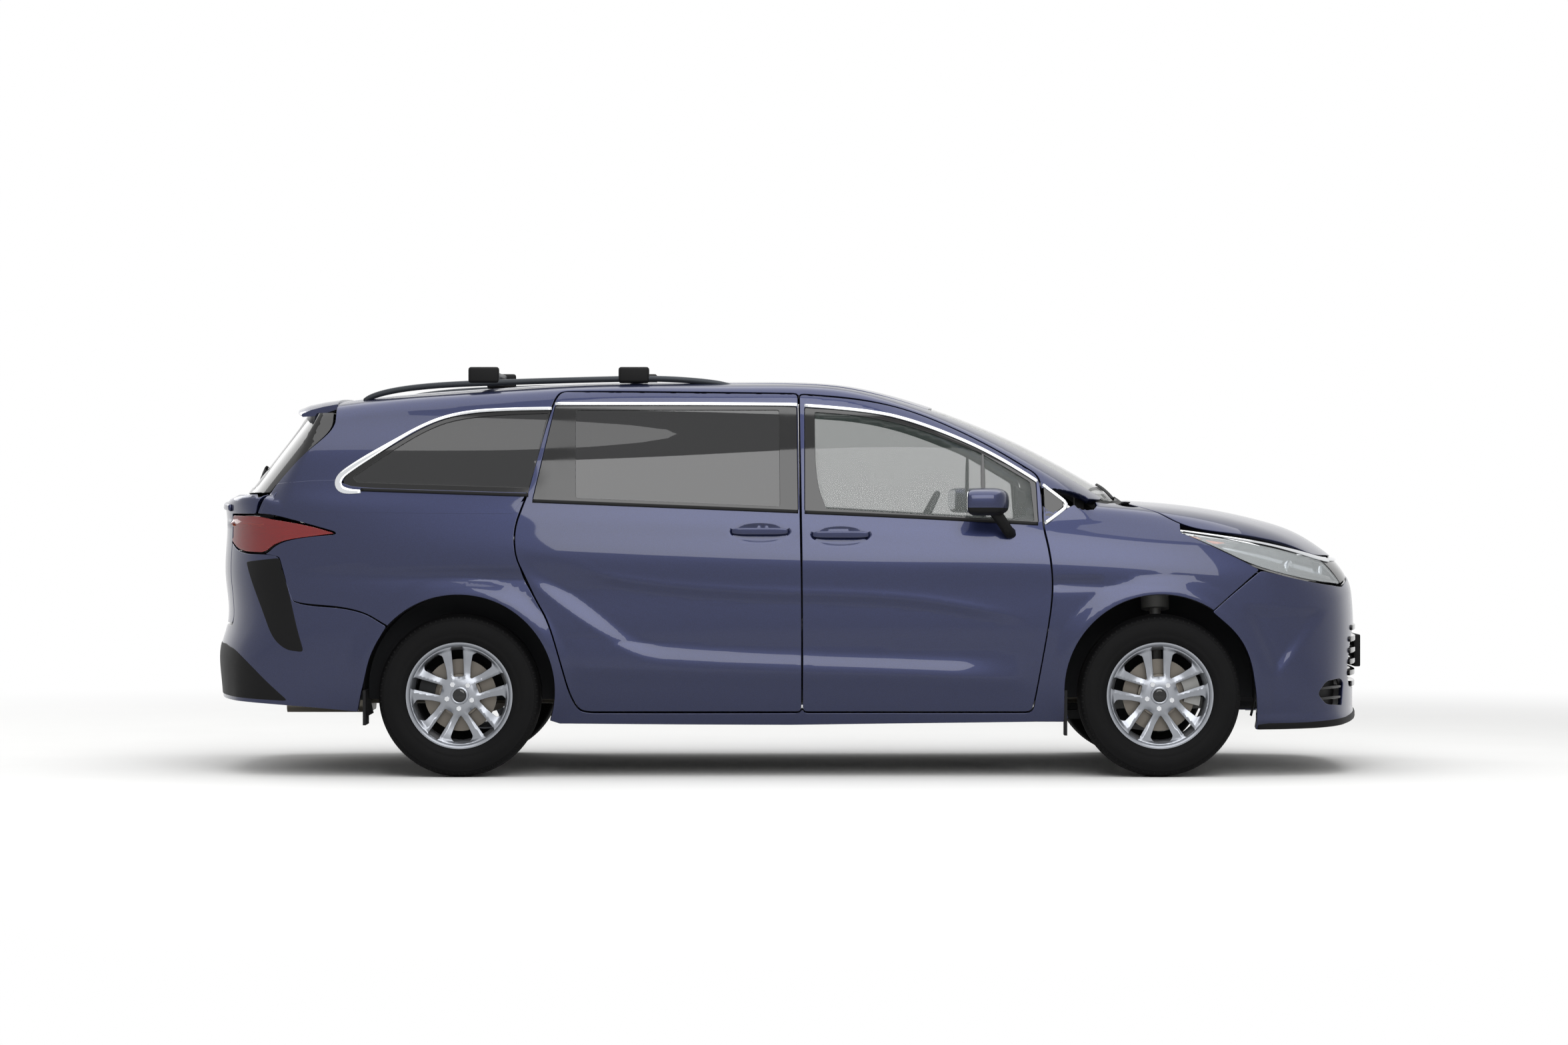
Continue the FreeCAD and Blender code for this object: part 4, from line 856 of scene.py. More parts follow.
def tube_of(name, rows, material):
    """A closed tube through rows of section points, capped at both ends."""
    count, around = rows.shape[:2]
    faces = []
    for k in range(count - 1):
        for j in range(around):
            m = (j + 1) % around
            faces.append([k * around + j, k * around + m, (k + 1) * around + m, (k + 1) * around + j])
    faces.append(list(range(around))[::-1])
    faces.append([(count - 1) * around + j for j in range(around)])
    made = mesh_object(name, rows.reshape(-1, 3), faces, materials=(material,))
    faced_outwards(made)
    return made


def bar_along(name, spots, tops, width, height, material, sunk=2.0):
    """A rounded bar along points, lying on a surface whose outward directions are tops."""
    spots, tops = np.asarray(spots, float), np.asarray(tops, float)
    along = np.gradient(spots, axis=0)
    along /= np.linalg.norm(along, axis=1)[:, None] + 1e-9
    across = np.cross(along, tops)
    across /= np.linalg.norm(across, axis=1)[:, None] + 1e-9
    section = [(-0.5, -sunk), (-0.5, height * 0.45), (-0.42, height * 0.8), (-0.25, height),
               (0.25, height), (0.42, height * 0.8), (0.5, height * 0.45), (0.5, -sunk)]
    width = np.broadcast_to(np.asarray(width, float), (len(spots),))
    rows = np.stack([spots + across * (a * width)[:, None] + tops * b for a, b in section], 1)
    return tube_of(name, rows, material)


def laid_bar(name, view, line, width, height, material, lift=0.0):
    """A bar on the body along a flat line in a view, its widths spread over the line's length."""
    spots = view(line)
    tops = slope_of(spots)
    width = np.atleast_1d(width)
    widths = np.interp(np.linspace(0, 1, len(line)), np.linspace(0, 1, len(width)), width)
    return bar_along(name, spots + tops * lift, tops, widths, height, material)


def open_line(points, step=14.0):
    """A smooth open line through control points."""
    points = [np.array(p, float) for p in points]
    line = [points[0]]
    for k in range(1, len(points) - 1):
        a = (points[k - 1] + points[k]) / 2 if k > 1 else points[0]
        c = (points[k] + points[k + 1]) / 2 if k < len(points) - 2 else points[-1]
        parts = max(2, int((math.dist(a, points[k]) + math.dist(points[k], c)) / step))
        for t in np.linspace(0, 1, parts + 1)[1:]:
            line.append((1 - t) ** 2 * a + 2 * t * (1 - t) * points[k] + t ** 2 * c)
    if len(points) == 2:
        parts = max(1, int(math.dist(*points) / step))
        line = [points[0] + (points[1] - points[0]) * t for t in np.linspace(0, 1, parts + 1)]
    return np.array(line)


pane_view = View((0, 1, 0), None, 7.0)
frame_view = View((0, 1, 0), None, 3.0)
plain_view = View((0, 1, 0))
door = "front_door_right"
fitted_pair(front_door_skin, door, "body_paint", "front_door_right")
fitted_pair(slide_door_skin, "body", "body_paint", "slide_door_right")
for name, pane, glass, body, finish, node in (
        ("front", FRONT_PANE, green_glass, door, "clear_glass", "front_door_glass_right"),
        ("slide", SLIDE_PANE, privacy_glass, "body", "tinted_glass", "slide_door_glass_right"),
        ("quarter", QUARTER_PANE, privacy_glass, "body", "tinted_glass", "quarter_glass")):
    fitted_pair(shell(f"{name}_pane_right", rounded(pane), [], pane_view, 4, (glass,)), body, finish, node)
for name, light, pane, body in (("front", FRONT_LIGHT, FRONT_PANE, door),
                                ("slide", SLIDE_LIGHT, SLIDE_PANE, "body"),
                                ("quarter", QUARTER_LIGHT, QUARTER_PANE, "body")):
    fitted_pair(shell(f"{name}_light_frame_right", grown(rounded(light), -1.0),
                      [grown(rounded(pane), -4.0)], frame_view, 16, (gloss_black,), edge=1.5),
                body, "gloss_black")
LIGHT_BAR = ((833, 1150), (833, 1440), (851, 1428), (851, 1145))
fitted_pair(shell("quarter_light_bar_right", rounded(LIGHT_BAR), [], frame_view, 14, (gloss_black,), edge=2),
            door, "gloss_black")
BRIGHT_FRONT = ((60, 1627), (343, 1608), (567, 1552), (841, 1439), (1057, 1309), (1079, 1292))
BRIGHT_SLIDE = ((28, 1630), (-106, 1635), (-1037, 1634))
BRIGHT_QUARTER = ((-1052, 1613), (-1300, 1611), (-1491, 1588), (-1625, 1537), (-1762, 1455),
                  (-1944, 1342), (-1984, 1300), (-1975, 1258), (-1920, 1246), (-1880, 1248))
STRIP_WIDE = 15.0
STRIP_HIGH = 5.0
for name, points, body in (("front", BRIGHT_FRONT, door), ("slide", BRIGHT_SLIDE, "body")):
    fitted_pair(laid_bar(f"bright_strip_{name}_right", plain_view, open_line(points), STRIP_WIDE, STRIP_HIGH,
                         chrome), body, "bright_trim")
line = open_line(BRIGHT_QUARTER, 10)
share = np.linspace(0, 1, len(line))
widths = STRIP_WIDE + 16 * eased(0.55, 0.85, share) * (1 - eased(0.93, 1.0, share) * 0.8)
fitted_pair(laid_bar("bright_strip_quarter_right", plain_view, line, widths, STRIP_HIGH, chrome), "body",
            "bright_trim")
for name, points, body in (("front", ((60, 1158), (600, 1136), (1080, 1107)), door),
                           ("slide", ((32, 1160), (-500, 1182), (-1128, 1207)), "body"),
                           ("quarter", ((-1146, 1232), (-1500, 1243), (-1880, 1256)), "body")):
    fitted_pair(laid_bar(f"belt_moulding_{name}_right", plain_view, open_line(points), STRIP_WIDE, 6,
                         black_plastic), body, "black_plastic")
# The ledge under the quarter window, a backing behind the door's front edge and the mirror corner
SILL = ((-1215, 1150, 2), (-1175, 1204), (-1152, 1244, 2), (-1500, 1254), (-1900, 1266), (-1958, 1284),
        (-1990, 1300, 8), (-2100, 1298), (-2256, 1284, 4), (-2325, 1160, 8), (-1900, 1155), (-1500, 1150))
fitted_pair(shell("quarter_sill_right", rounded(SILL), [], View((0, 1, 0), None, -0.6), 16, (paint, trim)),
            "body", "body_paint")
BACKING = ((1070, 1300, 2), (1130, 1262, 2), (1130, 1100, 2), (1078, 1100, 2))
fitted_pair(shell("pillar_backing_right", rounded(BACKING), [], View((0, 1, 0), None, 50), 4,
                  (gloss_black,), edge=1), "body", "gloss_black")
GARNISH = ((1106, 1270, 4), (1186, 1212, 20), (1196, 1186, 12), (1112, 1116, 6))
fitted_pair(shell("corner_garnish_right", rounded(GARNISH), [], plain_view, 8, (gloss_black,), edge=2),
            "body", "gloss_black")
CORNER = ((1104, 1277), (1180, 1221), (1212, 1192), (1190, 1165), (1108, 1108))
fitted_pair(laid_bar("bright_strip_corner_right", plain_view, open_line(CORNER), STRIP_WIDE, STRIP_HIGH,
                     chrome), "body", "bright_trim")
fitted_pair(fender_skin, "body", "body_paint", "fenders")
fitted_pair(body_skin, "body", "body_paint", "body_sides")
fitted(hood_skin, "hood", "body_paint", "hood")
fitted(roof_skin, "body", "body_paint", "roof")
screen_loop = loop_of(top_view, [("t", *p) for p in SCREEN], True)
screen_view = View((0, 0, -1), None, 2.0)
fitted(shell("screen_glass", screen_loop, [], screen_view, 5, (screen_glass,), step=30), "body",
       "clear_glass", "windshield")
band_view = View((0, 0, -1), None, 8.0)
fitted(shell("screen_band", grown(screen_loop, -2.0), [grown(screen_loop, -55.0)], band_view, 2,
             (gloss_black,), edge=0.5), "body", "gloss_black")
fitted(bumper_skin, "body", "body_paint", "front_bumper")
fitted(gate_skin, "tailgate", "body_paint", "tailgate")
fitted(gate_upper, "tailgate", "body_paint")
fitted(rear_skin, "body", "body_paint", "rear_bumper")

# Wheels and tyres
# Cast alloy wheels with five pairs of spokes, lacquered silver, and black rubber tyres. The face is a
# dished plate with its windows cut; rim, disc and tyre are turned profiles.
HUB_Z = 356.0
TRACK = 850.0


def turned(name, profile, material, count=120):
    """A profile of (outwards, radius) points turned round the wheel's axis, outwards being -Y."""
    spots, faces = [], []
    for t in np.linspace(0, 2 * np.pi, count, endpoint=False):
        spots += [(r * math.cos(t), -a, r * math.sin(t)) for a, r in profile]
    rows = len(profile)
    for k in range(count):
        n = (k + 1) % count
        for j in range(rows):
            m = (j + 1) % rows
            faces.append([k * rows + j, n * rows + j, n * rows + m, k * rows + m])
    made = mesh_object(name, spots, faces, materials=(material,))
    faced_outwards(made, merge=True)
    made.data.set_sharp_from_angle(angle=math.radians(35))
    return made


# Lacquered castings shine softly; the disc and the hub's castings are bare and duller
alloy = moulded("silver_lacquered_cast_alloy", "#8f9298", 0.32, 0.6, 0.85, 0.00003)
tyre_rubber = moulded("black_tyre_rubber", "#0a0a0b", 0.7, 0.9, shine=0.12)
disc_iron = moulded("machined_brake_iron", "#6f6a63", 0.4, 0.9, 0.7)
cast_metal = moulded("bare_cast_metal", "#8a8a88", 0.5, 1.0, 0.5)
SLOT_HALF = 24.0
SPOKES = 5
SPOKE_ANGLE = 93
SPOKE_PITCH = 360 // SPOKES


def face_height(u, v):
    """How far the wheel's face stands out of its centre plane."""
    radius = np.hypot(u, v)
    angle = np.degrees(np.arctan2(v, u))
    off = (angle - SPOKE_ANGLE + SPOKE_PITCH / 2) % SPOKE_PITCH - SPOKE_PITCH / 2
    aside = np.abs(radius * np.sin(np.radians(off)))
    dish = (70 - 10 * eased(40, 110, radius) + 16 * eased(120, 205, radius)
            + 6 * eased(196, 214, radius))
    ridge = SLOT_HALF + 4 + 9 * eased(60, 200, radius)
    rise = (-0.55 * np.maximum(ridge - aside, 0)
            - 0.28 * np.maximum(aside - ridge, 0) * eased(70, 110, radius))
    spoke = np.maximum(rise, -17) * eased(62, 96, radius) * (1 - eased(198, 214, radius))
    return dish + spoke


def polar(points):
    """A rounded outline through points given as radius, angle and corner."""
    return rounded([(r * math.cos(math.radians(t)), r * math.sin(math.radians(t)), corner)
                    for r, t, corner in points], 5)


def on_face(flat):
    """Flat points laid on the wheel's face."""
    return np.stack([flat[:, 0], -face_height(flat[:, 0], flat[:, 1]), flat[:, 1]], 1)


windows = []
for k in range(SPOKES):
    t = SPOKE_ANGLE + SPOKE_PITCH * k
    along = np.array([math.cos(math.radians(t)), math.sin(math.radians(t))])
    across = np.array([-along[1], along[0]])
    windows.append(rounded([(*(along * r + across * w), 5) for r, w in
                            ((84, -21), (213, -25), (213, 25), (84, 21))], 5))
    g = t + SPOKE_PITCH / 2
    windows.append(polar(((88, g, 8), (132, g - 11.5, 12), (188, g - 15, 8), (204, g - 10, 8),
                          (204, g + 10, 8), (188, g + 15, 8), (132, g + 11.5, 12))))
turns = np.linspace(0, 2 * np.pi, 160, endpoint=False)
outline = np.stack([np.cos(turns), np.sin(turns)], 1) * 222
wheel_face = shell("wheel_face", outline, windows, on_face, 26, (alloy,), step=6.5, edge=2.5,
                   middle=(0, 900, 0))
RIM = ((95, 233), (95, 227), (90, 220), (84, 216), (60, 208), (44, 200), (-40, 198), (-60, 206), (-88, 222),
       (-95, 226), (-95, 233), (-88, 233), (-84, 218), (-56, 216), (-40, 204), (46, 204), (58, 216),
       (84, 218), (88, 233))
rim = turned("rim", RIM, alloy)
HAT = ((40, 0.5), (40, 60), (38, 92), (6, 94), (5, 158), (-20, 158), (-20, 60), (30, 30), (30, 0.5))
brake = turned("brake_disc", HAT, disc_iron, 72)
CAP = ((78, 0.5), (77.5, 18), (76, 26), (73, 29), (62, 30), (62, 0.5))
cap = turned("centre_cap", CAP, gloss_black, 48)
RING = ((76, 30), (77, 33), (75, 38), (66, 41), (60, 41), (60, 30))
cap_ring = turned("cap_ring", RING, alloy, 48)
TYRE = ((0, 356), (20, 355.8), (21, 349), (26, 349), (27, 355.5), (52, 354.5), (53, 347.5), (58, 347),
        (59, 353.5), (80, 351), (96, 346), (106, 338), (109, 330), (111, 329), (112, 322), (115.5, 312),
        (117.3, 298), (117, 284), (114, 272), (111, 264), (111.5, 261), (108, 252), (101, 243), (97, 237),
        (92, 234), (88, 222), (70, 219), (70, 240), (84, 290), (72, 322), (0, 330))
profile = [*TYRE, *[(-a, r) for a, r in reversed(TYRE) if a]]
tyre_mesh = turned("tyre", profile, tyre_rubber, 180)
NUT = ((0, 0.5), (0, 11.5), (-2, 12.5), (-22, 12.5), (-22, 0.5))


# Wheel nuts and shoulder blocks of the tread repeat round the hub, so node trees lay them out
def ring_tree(name, piece, turned_by):
    """A node tree that repeats a piece round the wheel's axis."""
    tree = bpy.data.node_groups.new(name, "GeometryNodeTree")
    tree.interface.new_socket("Geometry", in_out="OUTPUT", socket_type="NodeSocketGeometry")
    for label, kind in (("Count", "Int"), ("Radius", "Float"), ("Out", "Float")):
        tree.interface.new_socket(label, in_out="INPUT", socket_type="NodeSocket" + kind)
    given = tree.nodes.new("NodeGroupInput")
    circle = add(tree, "GeometryNodeMeshCircle", {"Vertices": given.outputs["Count"],
                                                  "Radius": given.outputs["Radius"]})
    upright = add(tree, "GeometryNodeTransform", {"Geometry": circle.outputs[0],
                                                  "Rotation": (math.pi / 2, math.radians(turned_by), 0)})
    shift = add(tree, "ShaderNodeCombineXYZ", {"Y": given.outputs["Out"]})
    moved = add(tree, "GeometryNodeSetPosition", {"Geometry": upright.outputs[0],
                                                  "Offset": shift.outputs[0]})
    source = add(tree, "GeometryNodeObjectInfo", {"Object": piece})
    spot = add(tree, "GeometryNodeInputPosition")
    flat = add(tree, "ShaderNodeVectorMath", {0: spot.outputs[0], 1: (1, 0, 1)}, operation="MULTIPLY")
    lean = add(tree, "FunctionNodeAlignRotationToVector", {"Vector": flat.outputs[0]}, axis="X",
               pivot_axis="Y")
    copies = add(tree, "GeometryNodeInstanceOnPoints",
                 {"Points": moved.outputs[0], "Instance": source.outputs["Geometry"],
                  "Rotation": lean.outputs[0]})
    real = add(tree, "GeometryNodeRealizeInstances", {"Geometry": copies.outputs[0]})
    finish = add(tree, "GeometryNodeSetMaterial", {"Geometry": real.outputs[0],
                                                   "Material": piece.data.materials[0]})
    end = tree.nodes.new("NodeGroupOutput")
    tree.links.new(finish.outputs[0], end.inputs[0])
    return tree


def grown_mesh(name, tree, values):
    """The plain mesh that a node tree makes with its inputs set."""
    holder = bpy.data.objects.new(name, bpy.data.meshes.new(name))
    bpy.context.scene.collection.objects.link(holder)
    grow = holder.modifiers.new("grow", "NODES")
    grow.node_group = tree
    for item in tree.interface.items_tree:
        if item.in_out == "INPUT" and item.name in values:
            grow[item.identifier] = values[item.name]
    graph = bpy.context.evaluated_depsgraph_get()
    mesh = bpy.data.meshes.new_from_object(holder.evaluated_get(graph))
    holder.modifiers.remove(grow)
    holder.data = mesh
    return holder


nut = turned("nut", NUT, chrome, 6)
tread_block = turned("tread_block", ((0, 0.5), (0, 3), (-18, 3), (-18, 0.5)), tyre_rubber, 4)
tread_spots = [*[(-6, y, z) for y in (0, 26) for z in (-3.4, 3.4)],
               *[(4, y, z) for y in (2, 26) for z in (-3, 3)]]
tread_block.data.clear_geometry()
tread_block.data.from_pydata((np.array(tread_spots) * MM).tolist(), [],
                             [(0, 1, 3, 2), (4, 6, 7, 5), (0, 4, 5, 1), (2, 3, 7, 6), (1, 5, 7, 3),
                              (0, 2, 6, 4)])
nuts = grown_mesh("wheel_nuts", ring_tree("nut_circle", nut, SPOKE_ANGLE),
                  {"Count": SPOKES, "Radius": 57 * MM, "Out": -74 * MM})
blocks = grown_mesh("shoulder_blocks", ring_tree("shoulder_row", tread_block, 0),
                    {"Count": 84, "Radius": 340 * MM, "Out": -109 * MM})
WHEEL_PIECES = ((wheel_face, "wheel_face_{}", "alloy", ["wheel_{}"]), (rim, "rim_{}", "alloy", []),
                (brake, "brake_disc_{}", "cast_metal", []), (cap, "centre_cap_{}", "gloss_black", []),
                (cap_ring, "cap_ring_{}", "alloy", []), (nuts, "wheel_nuts_{}", "bright_trim", []),
                (tyre_mesh, "tyre_{}_cover", "tyre", ["tyre_{}"]),
                (blocks, "tread_blocks_{}", "tyre", []))
for end, hub_x in zip(("front", "rear"), HUBS_X):
    for hand, side in (("right", -1), ("left", 1)):
        wheel = f"{end}_{hand}"
        for model, label, finish, stands_for in WHEEL_PIECES:
            placed = copy_of(model, label.format(wheel), side > 0, (hub_x, side * TRACK, HUB_Z))
            fitted(placed, f"wheel_{wheel}", finish, *[n.format(wheel) for n in stands_for])
for model in (wheel_face, rim, brake, cap, cap_ring, nuts, tyre_mesh, blocks, nut, tread_block):
    bpy.data.objects.remove(model)

# Lamps, grille and front mouldings
# Clear polycarbonate lamps over bright bowls and projectors, a slatted black grille with fog vents
# beside it, and bright strips over the lamps.


def strip_on(name, view, points, width, height, material, lift=0.0):
    """A bar on the body through points of it."""
    line = open_line([view.flat([spot_on(*p)])[0] for p in points], 12)
    return laid_bar(name, view, line, width, height, material, lift)


def block(name, low, high, radius, material, cut=2):
    """A rounded block between two corners."""
    made = bpy.data.meshes.new(name)
    form = bmesh.new()
    bmesh.ops.create_cube(form, size=1.0)
    low, high = np.array(low, float), np.array(high, float)
    for vert in form.verts:
        vert.co = Vector(((low + high) / 2 + np.array(vert.co) * (high - low)) * MM)
    bmesh.ops.bevel(form, geom=form.edges[:], offset=radius * MM, segments=cut, profile=0.6,
                    affect="EDGES")
    form.to_mesh(made)
    form.free()
    made.materials.append(material)
    made.polygons.foreach_set("use_smooth", np.ones(len(made.polygons), bool))
    made.set_sharp_from_angle(angle=math.radians(40))
    piece = bpy.data.objects.new(name, made)
    bpy.context.scene.collection.objects.link(piece)
    return piece


def pillow(name, middle, half, power, materials, turned_by=0.0, rows=22, cols=44, shape=None,
           kinds=None):
    """A closed crowned form: a block whose faces swell, squarer as its power is smaller."""
    v = np.linspace(-np.pi / 2, np.pi / 2, rows + 1)[1:-1]
    u = np.linspace(0, 2 * np.pi, cols, endpoint=False)
    cos_v, sin_v, cos_u, sin_u = (np.sign(c) * np.abs(c) ** power
                                  for c in (np.cos(v), np.sin(v), np.cos(u), np.sin(u)))
    grid = np.stack([np.outer(cos_v, cos_u), np.outer(cos_v, sin_u), np.outer(sin_v, np.ones(cols))],
                    2).reshape(-1, 3)
    grid = np.concatenate([grid, [(0, 0, -1), (0, 0, 1)]])
    spots = grid * half
    if shape is not None:
        spots = shape(spots, grid)
    lean = math.radians(turned_by)
    spots = np.stack([spots[:, 0] * math.cos(lean) + spots[:, 2] * math.sin(lean), spots[:, 1],
                      -spots[:, 0] * math.sin(lean) + spots[:, 2] * math.cos(lean)], 1) + middle
    faces = []
    for k in range(rows - 2):
        for j in range(cols):
            n = (j + 1) % cols
            faces.append([k * cols + j, k * cols + n, (k + 1) * cols + n, (k + 1) * cols + j])
    last = (rows - 2) * cols
    for j in range(cols):
        n = (j + 1) % cols
        faces.append([n, j, len(grid) - 2])
        faces.append([last + j, last + n, len(grid) - 1])
    chosen = None if kinds is None else [kinds(spots[f].mean(0)) for f in faces]
    return mesh_object(name, spots, faces, None, chosen, materials)


def on_end(name, facing, loop, depth, wall, material, step=22, cut=(), **more):
    """A moulding laid on the front (facing 1) or the rear (facing -1) of the body at a depth."""
    return shell(name, loop, list(cut), Round(END_X * facing, facing, None, depth), wall, (material,),
                 step=step, **more)


# Lenses keep their gloss over a metallised bowl; the grille's backing is a dull dark moulding
clear_lens = glass_like("clear_polycarbonate_lens", "#e8eef0", 0.82)
red_lens = glass_like("red_acrylic_lens", "#7a0508", 0.25, 0.03)
amber_lens = glass_like("amber_acrylic_lens", "#c05a08", 0.2, 0.04)
bowl = moulded("metallised_lamp_bowl", "#8f9499", 0.16, 0.0, 1.0)
mesh_black = moulded("black_honeycomb_moulding", "#0a0a0b", 0.5, 2.2)
LAMP = [*sides(((1712, 1069, 5), (1979, 1032), (2230, 972))), ("f", -655, 943, 14), ("f", -640, 840, 14),
        *sides(((2275, 860), (2047, 915), (1860, 1008)))]
lamp_loop = loop_of(plain_front, LAMP)
fitted_pair(on_end("headlamp_lens_right", 1, lamp_loop, 1, 4, clear_lens, 24), "body", "lamp_lens",
            "headlamps")
fitted_pair(on_end("headlamp_bowl_right", 1, grown(lamp_loop, -2), 30, 3, bowl, 24), "body", "lamp_lens")
fitted_pair(on_end("headlamp_mask_right", 1, grown(lamp_loop, -1), 7, 24, gloss_black, 24,
                   [grown(lamp_loop, -13)]), "body", "gloss_black")
LAMP_BAND = [*sides(((1800, 1030, 5), (2047, 935), (2275, 880))), ("f", -640, 858, 8), ("f", -640, 880, 8),
             *sides(((2275, 900), (2060, 965)))]
fitted_pair(on_end("headlamp_band_right", 1, loop_of(plain_front, LAMP_BAND), 14, 12, gloss_black, 24),
            "body", "gloss_black")
EYE = ((0, 0.5), (10, 9), (14, 18), (12, 24), (10, 29), (14, 33), (14, 37), (-12, 38), (-12, 0.5))
EYE_DEPTH = 34.0
for k, (kind, a, b) in enumerate((("s", 2195, 925), ("f", -700, 905))):
    spot = spot_on(kind, a, b)
    facing = slope_of(spot[None])[0]
    model = turned("projector", EYE, bowl, 40)
    ahead = Vector((facing[0], facing[1] * 0.4, 0)).normalized()
    turn = Vector((0, -1, 0)).rotation_difference(ahead).to_matrix()
    spots = np.array([turn @ v.co for v in model.data.vertices]) / MM + (spot - facing * EYE_DEPTH)
    made = mesh_object(f"projector_{k + 1}_right", spots, [list(f.vertices) for f in model.data.polygons],
                       materials=(bowl,))
    bpy.data.objects.remove(model)
    fitted_pair(made, "body", "lamp_lens")
AMBER = sides(((1740, 1062, 4), (1850, 1046), (1905, 1030, 6), (1850, 1022), (1790, 1042)))
fitted_pair(on_end("side_reflector_right", 1, loop_of(plain_front, AMBER), 10, 6, amber_lens, 18), "body",
            "lamp_lens")
LAMP_STRIP = (*sides(((1716, 1074), (1979, 1040), (2230, 980))), ("f", -640, 946), ("f", -560, 944))
fitted_pair(strip_on("bright_strip_lamp_right", plain_front, LAMP_STRIP, (7, 10, 13, 24, 30), STRIP_HIGH,
                     chrome, 1.0), "body", "bright_trim")
NOSE = [("f", 0, 940), ("f", -330, 942), ("f", -560, 946, 10), ("f", -632, 946, 8), ("f", -630, 842, 8),
        ("f", -560, 852), ("f", -300, 874), ("f", 0, 882)]
fitted(on_end("nose_garnish", 1, loop_of(plain_front, NOSE, True), 3, 20, gloss_black, 24), "body",
       "gloss_black")
NOSE_STRIP = (("f", 560, 944), ("f", 330, 941), ("f", 0, 939), ("f", -330, 941), ("f", -560, 944))
fitted(strip_on("nose_strip", plain_front, NOSE_STRIP, 16, 6, chrome), "body", "bright_trim")
fitted(on_end("grille_back", 1, grown(grille_loop, 6), 46, 6, mesh_black, 30), "body", "black_plastic")
for k in range(6):
    low = 380 + 50 * k
    wide = -560 if k in (0, 5) else -606
    slat = [("f", 0, low + 24, 1), ("f", wide + 8, low + 24, 8), ("f", wide, low + 12, 8),
            ("f", wide + 8, low, 8), ("f", 0, low, 1)]
    fitted(on_end(f"grille_slat_{k + 1}", 1, loop_of(plain_front, slat, True), -9, 34, gloss_black, edge=5),
           "body", "gloss_black")
for hand, loop in (("right", vent_loop), ("left", vent_left)):
    fitted(on_end(f"vent_back_{hand}", 1, grown(loop, 5), 44, 5, mesh_black, 24), "body", "black_plastic")
for k, z in enumerate((340, 386)):
    points = (("f", -684, z), ("f", -760, z + 2), ("f", -824, z - 4))
    fitted_pair(strip_on(f"vent_bar_{k + 1}_right", plain_front, points, 13, 8, gloss_black, -12), "body",
                "gloss_black")
fitted(block("plate_bracket", (2556, -153, 453), (2587, 153, 599), 7, black_plastic), "body", "black_plastic")
LIP = (*sides(((2045, 222), (2300, 222))), ("f", -500, 250), ("f", 0, 262), ("f", 500, 250), ("f", 780, 226),
       ("f", 860, 222))
fitted(strip_on("front_lip", plain_front, LIP, 34, 10, black_plastic), "body", "black_plastic")

# Moulded liners close each arch between the panel's edge and the wheel housing
LINER_R = 416.0


def liner_place(hub_x):
    """A roll about a hub: flat points are arc length and depth into the car."""
    return lambda flat: np.stack([hub_x + LINER_R * np.cos(flat[:, 0] / LINER_R), -flat[:, 1],
                                  ARCH_Z + LINER_R * np.sin(flat[:, 0] / LINER_R)], 1)


REACH = (LINER_R * math.radians(-16), LINER_R * math.radians(196))
for end, hub_x, depth in (("front", HUBS_X[0], 850), ("rear", HUBS_X[1], 640)):
    liner_loop = rounded(((REACH[0], depth, 1), (REACH[1], depth, 1), (REACH[1], 925, 1),
                          (LINER_R * math.pi / 2, 980, 200), (REACH[0], 925, 1)))
    fitted_pair(shell(f"arch_liner_{end}_right", liner_loop, [], liner_place(hub_x), 3, (black_plastic,),
                      step=30, edge=1, middle=(hub_x, -800, 2000)), "body", "black_plastic")

# Rear lamps, glass and mouldings
# Red and clear acrylic lamps wrap the corners; the gate carries its glass, a spoiler and a ledge.
TAIL = [*sides(((-1988, 1066, 12), (-2120, 1104), (-2343, 1140, 20))), ("b", -668, 1142, 8),
        ("b", -668, 1042, 8), *sides(((-2480, 1038, 12), (-2424, 986), (-2304, 982, 20), (-2234, 1036)))]
plain_rear = Round(-END_X, -1)
tail_loop = loop_of(plain_rear, TAIL)
fitted_pair(on_end("tail_lens_right", -1, tail_loop, 0, 4, red_lens), "body", "tail_lens", "tail_lamps")
fitted_pair(on_end("tail_housing_right", -1, grown(tail_loop, -1), 22, 14, gloss_black, 24), "body",
            "gloss_black")
TAIL_LIGHT = [*sides(((-2150, 1072, 8), (-2343, 1108))), ("b", -690, 1112, 8), ("b", -690, 1070, 8),
              *sides(((-2420, 1066), (-2300, 1062)))]
fitted_pair(on_end("tail_light_band_right", -1, loop_of(plain_rear, TAIL_LIGHT), 9, 6, amber_lens), "body",
            "tail_lens")
fitted(on_end("rear_pane", -1, grown(rear_hole, -1.5), 4, 5, privacy_glass, 30), "tailgate", "tinted_glass",
       "tailgate_glass")
FIN = sides(((-2236, 958, 8), (-2188, 797), (-2126, 545, 20), (-2240, 560), (-2330, 760), (-2392, 940, 10)))
fitted_pair(on_end("rear_fin_right", -1, loop_of(plain_rear, FIN), -2, 6, black_plastic, 20), "body",
            "black_plastic")
SKIRT = [("b", 0, 575), ("b", -600, 575),
         *sides(((-2500, 575), (-2412, 545), (-2200, 330, 20), (-2460, 344))), ("b", -500, 348),
         ("b", 0, 348)]
fitted(on_end("rear_skirt", -1, loop_of(plain_rear, SKIRT, True), -2, 6, black_plastic, 26), "body",
       "black_plastic")
LEDGE = (("b", -660, 1176), ("b", -330, 1186), ("b", 0, 1188), ("b", 330, 1186), ("b", 660, 1176))
fitted(strip_on("gate_ledge", plain_rear, LEDGE, 30, 12, paint), "tailgate", "body_paint")
SPOILER = ((-2000, 9), (-2080, 11), (-2160, 9), (-2214, -1), (-2221, -10), (-2212, -22), (-2150, -34),
           (-2060, -30), (-2000, -22))
SPOILER_HALF = 712
rows = []
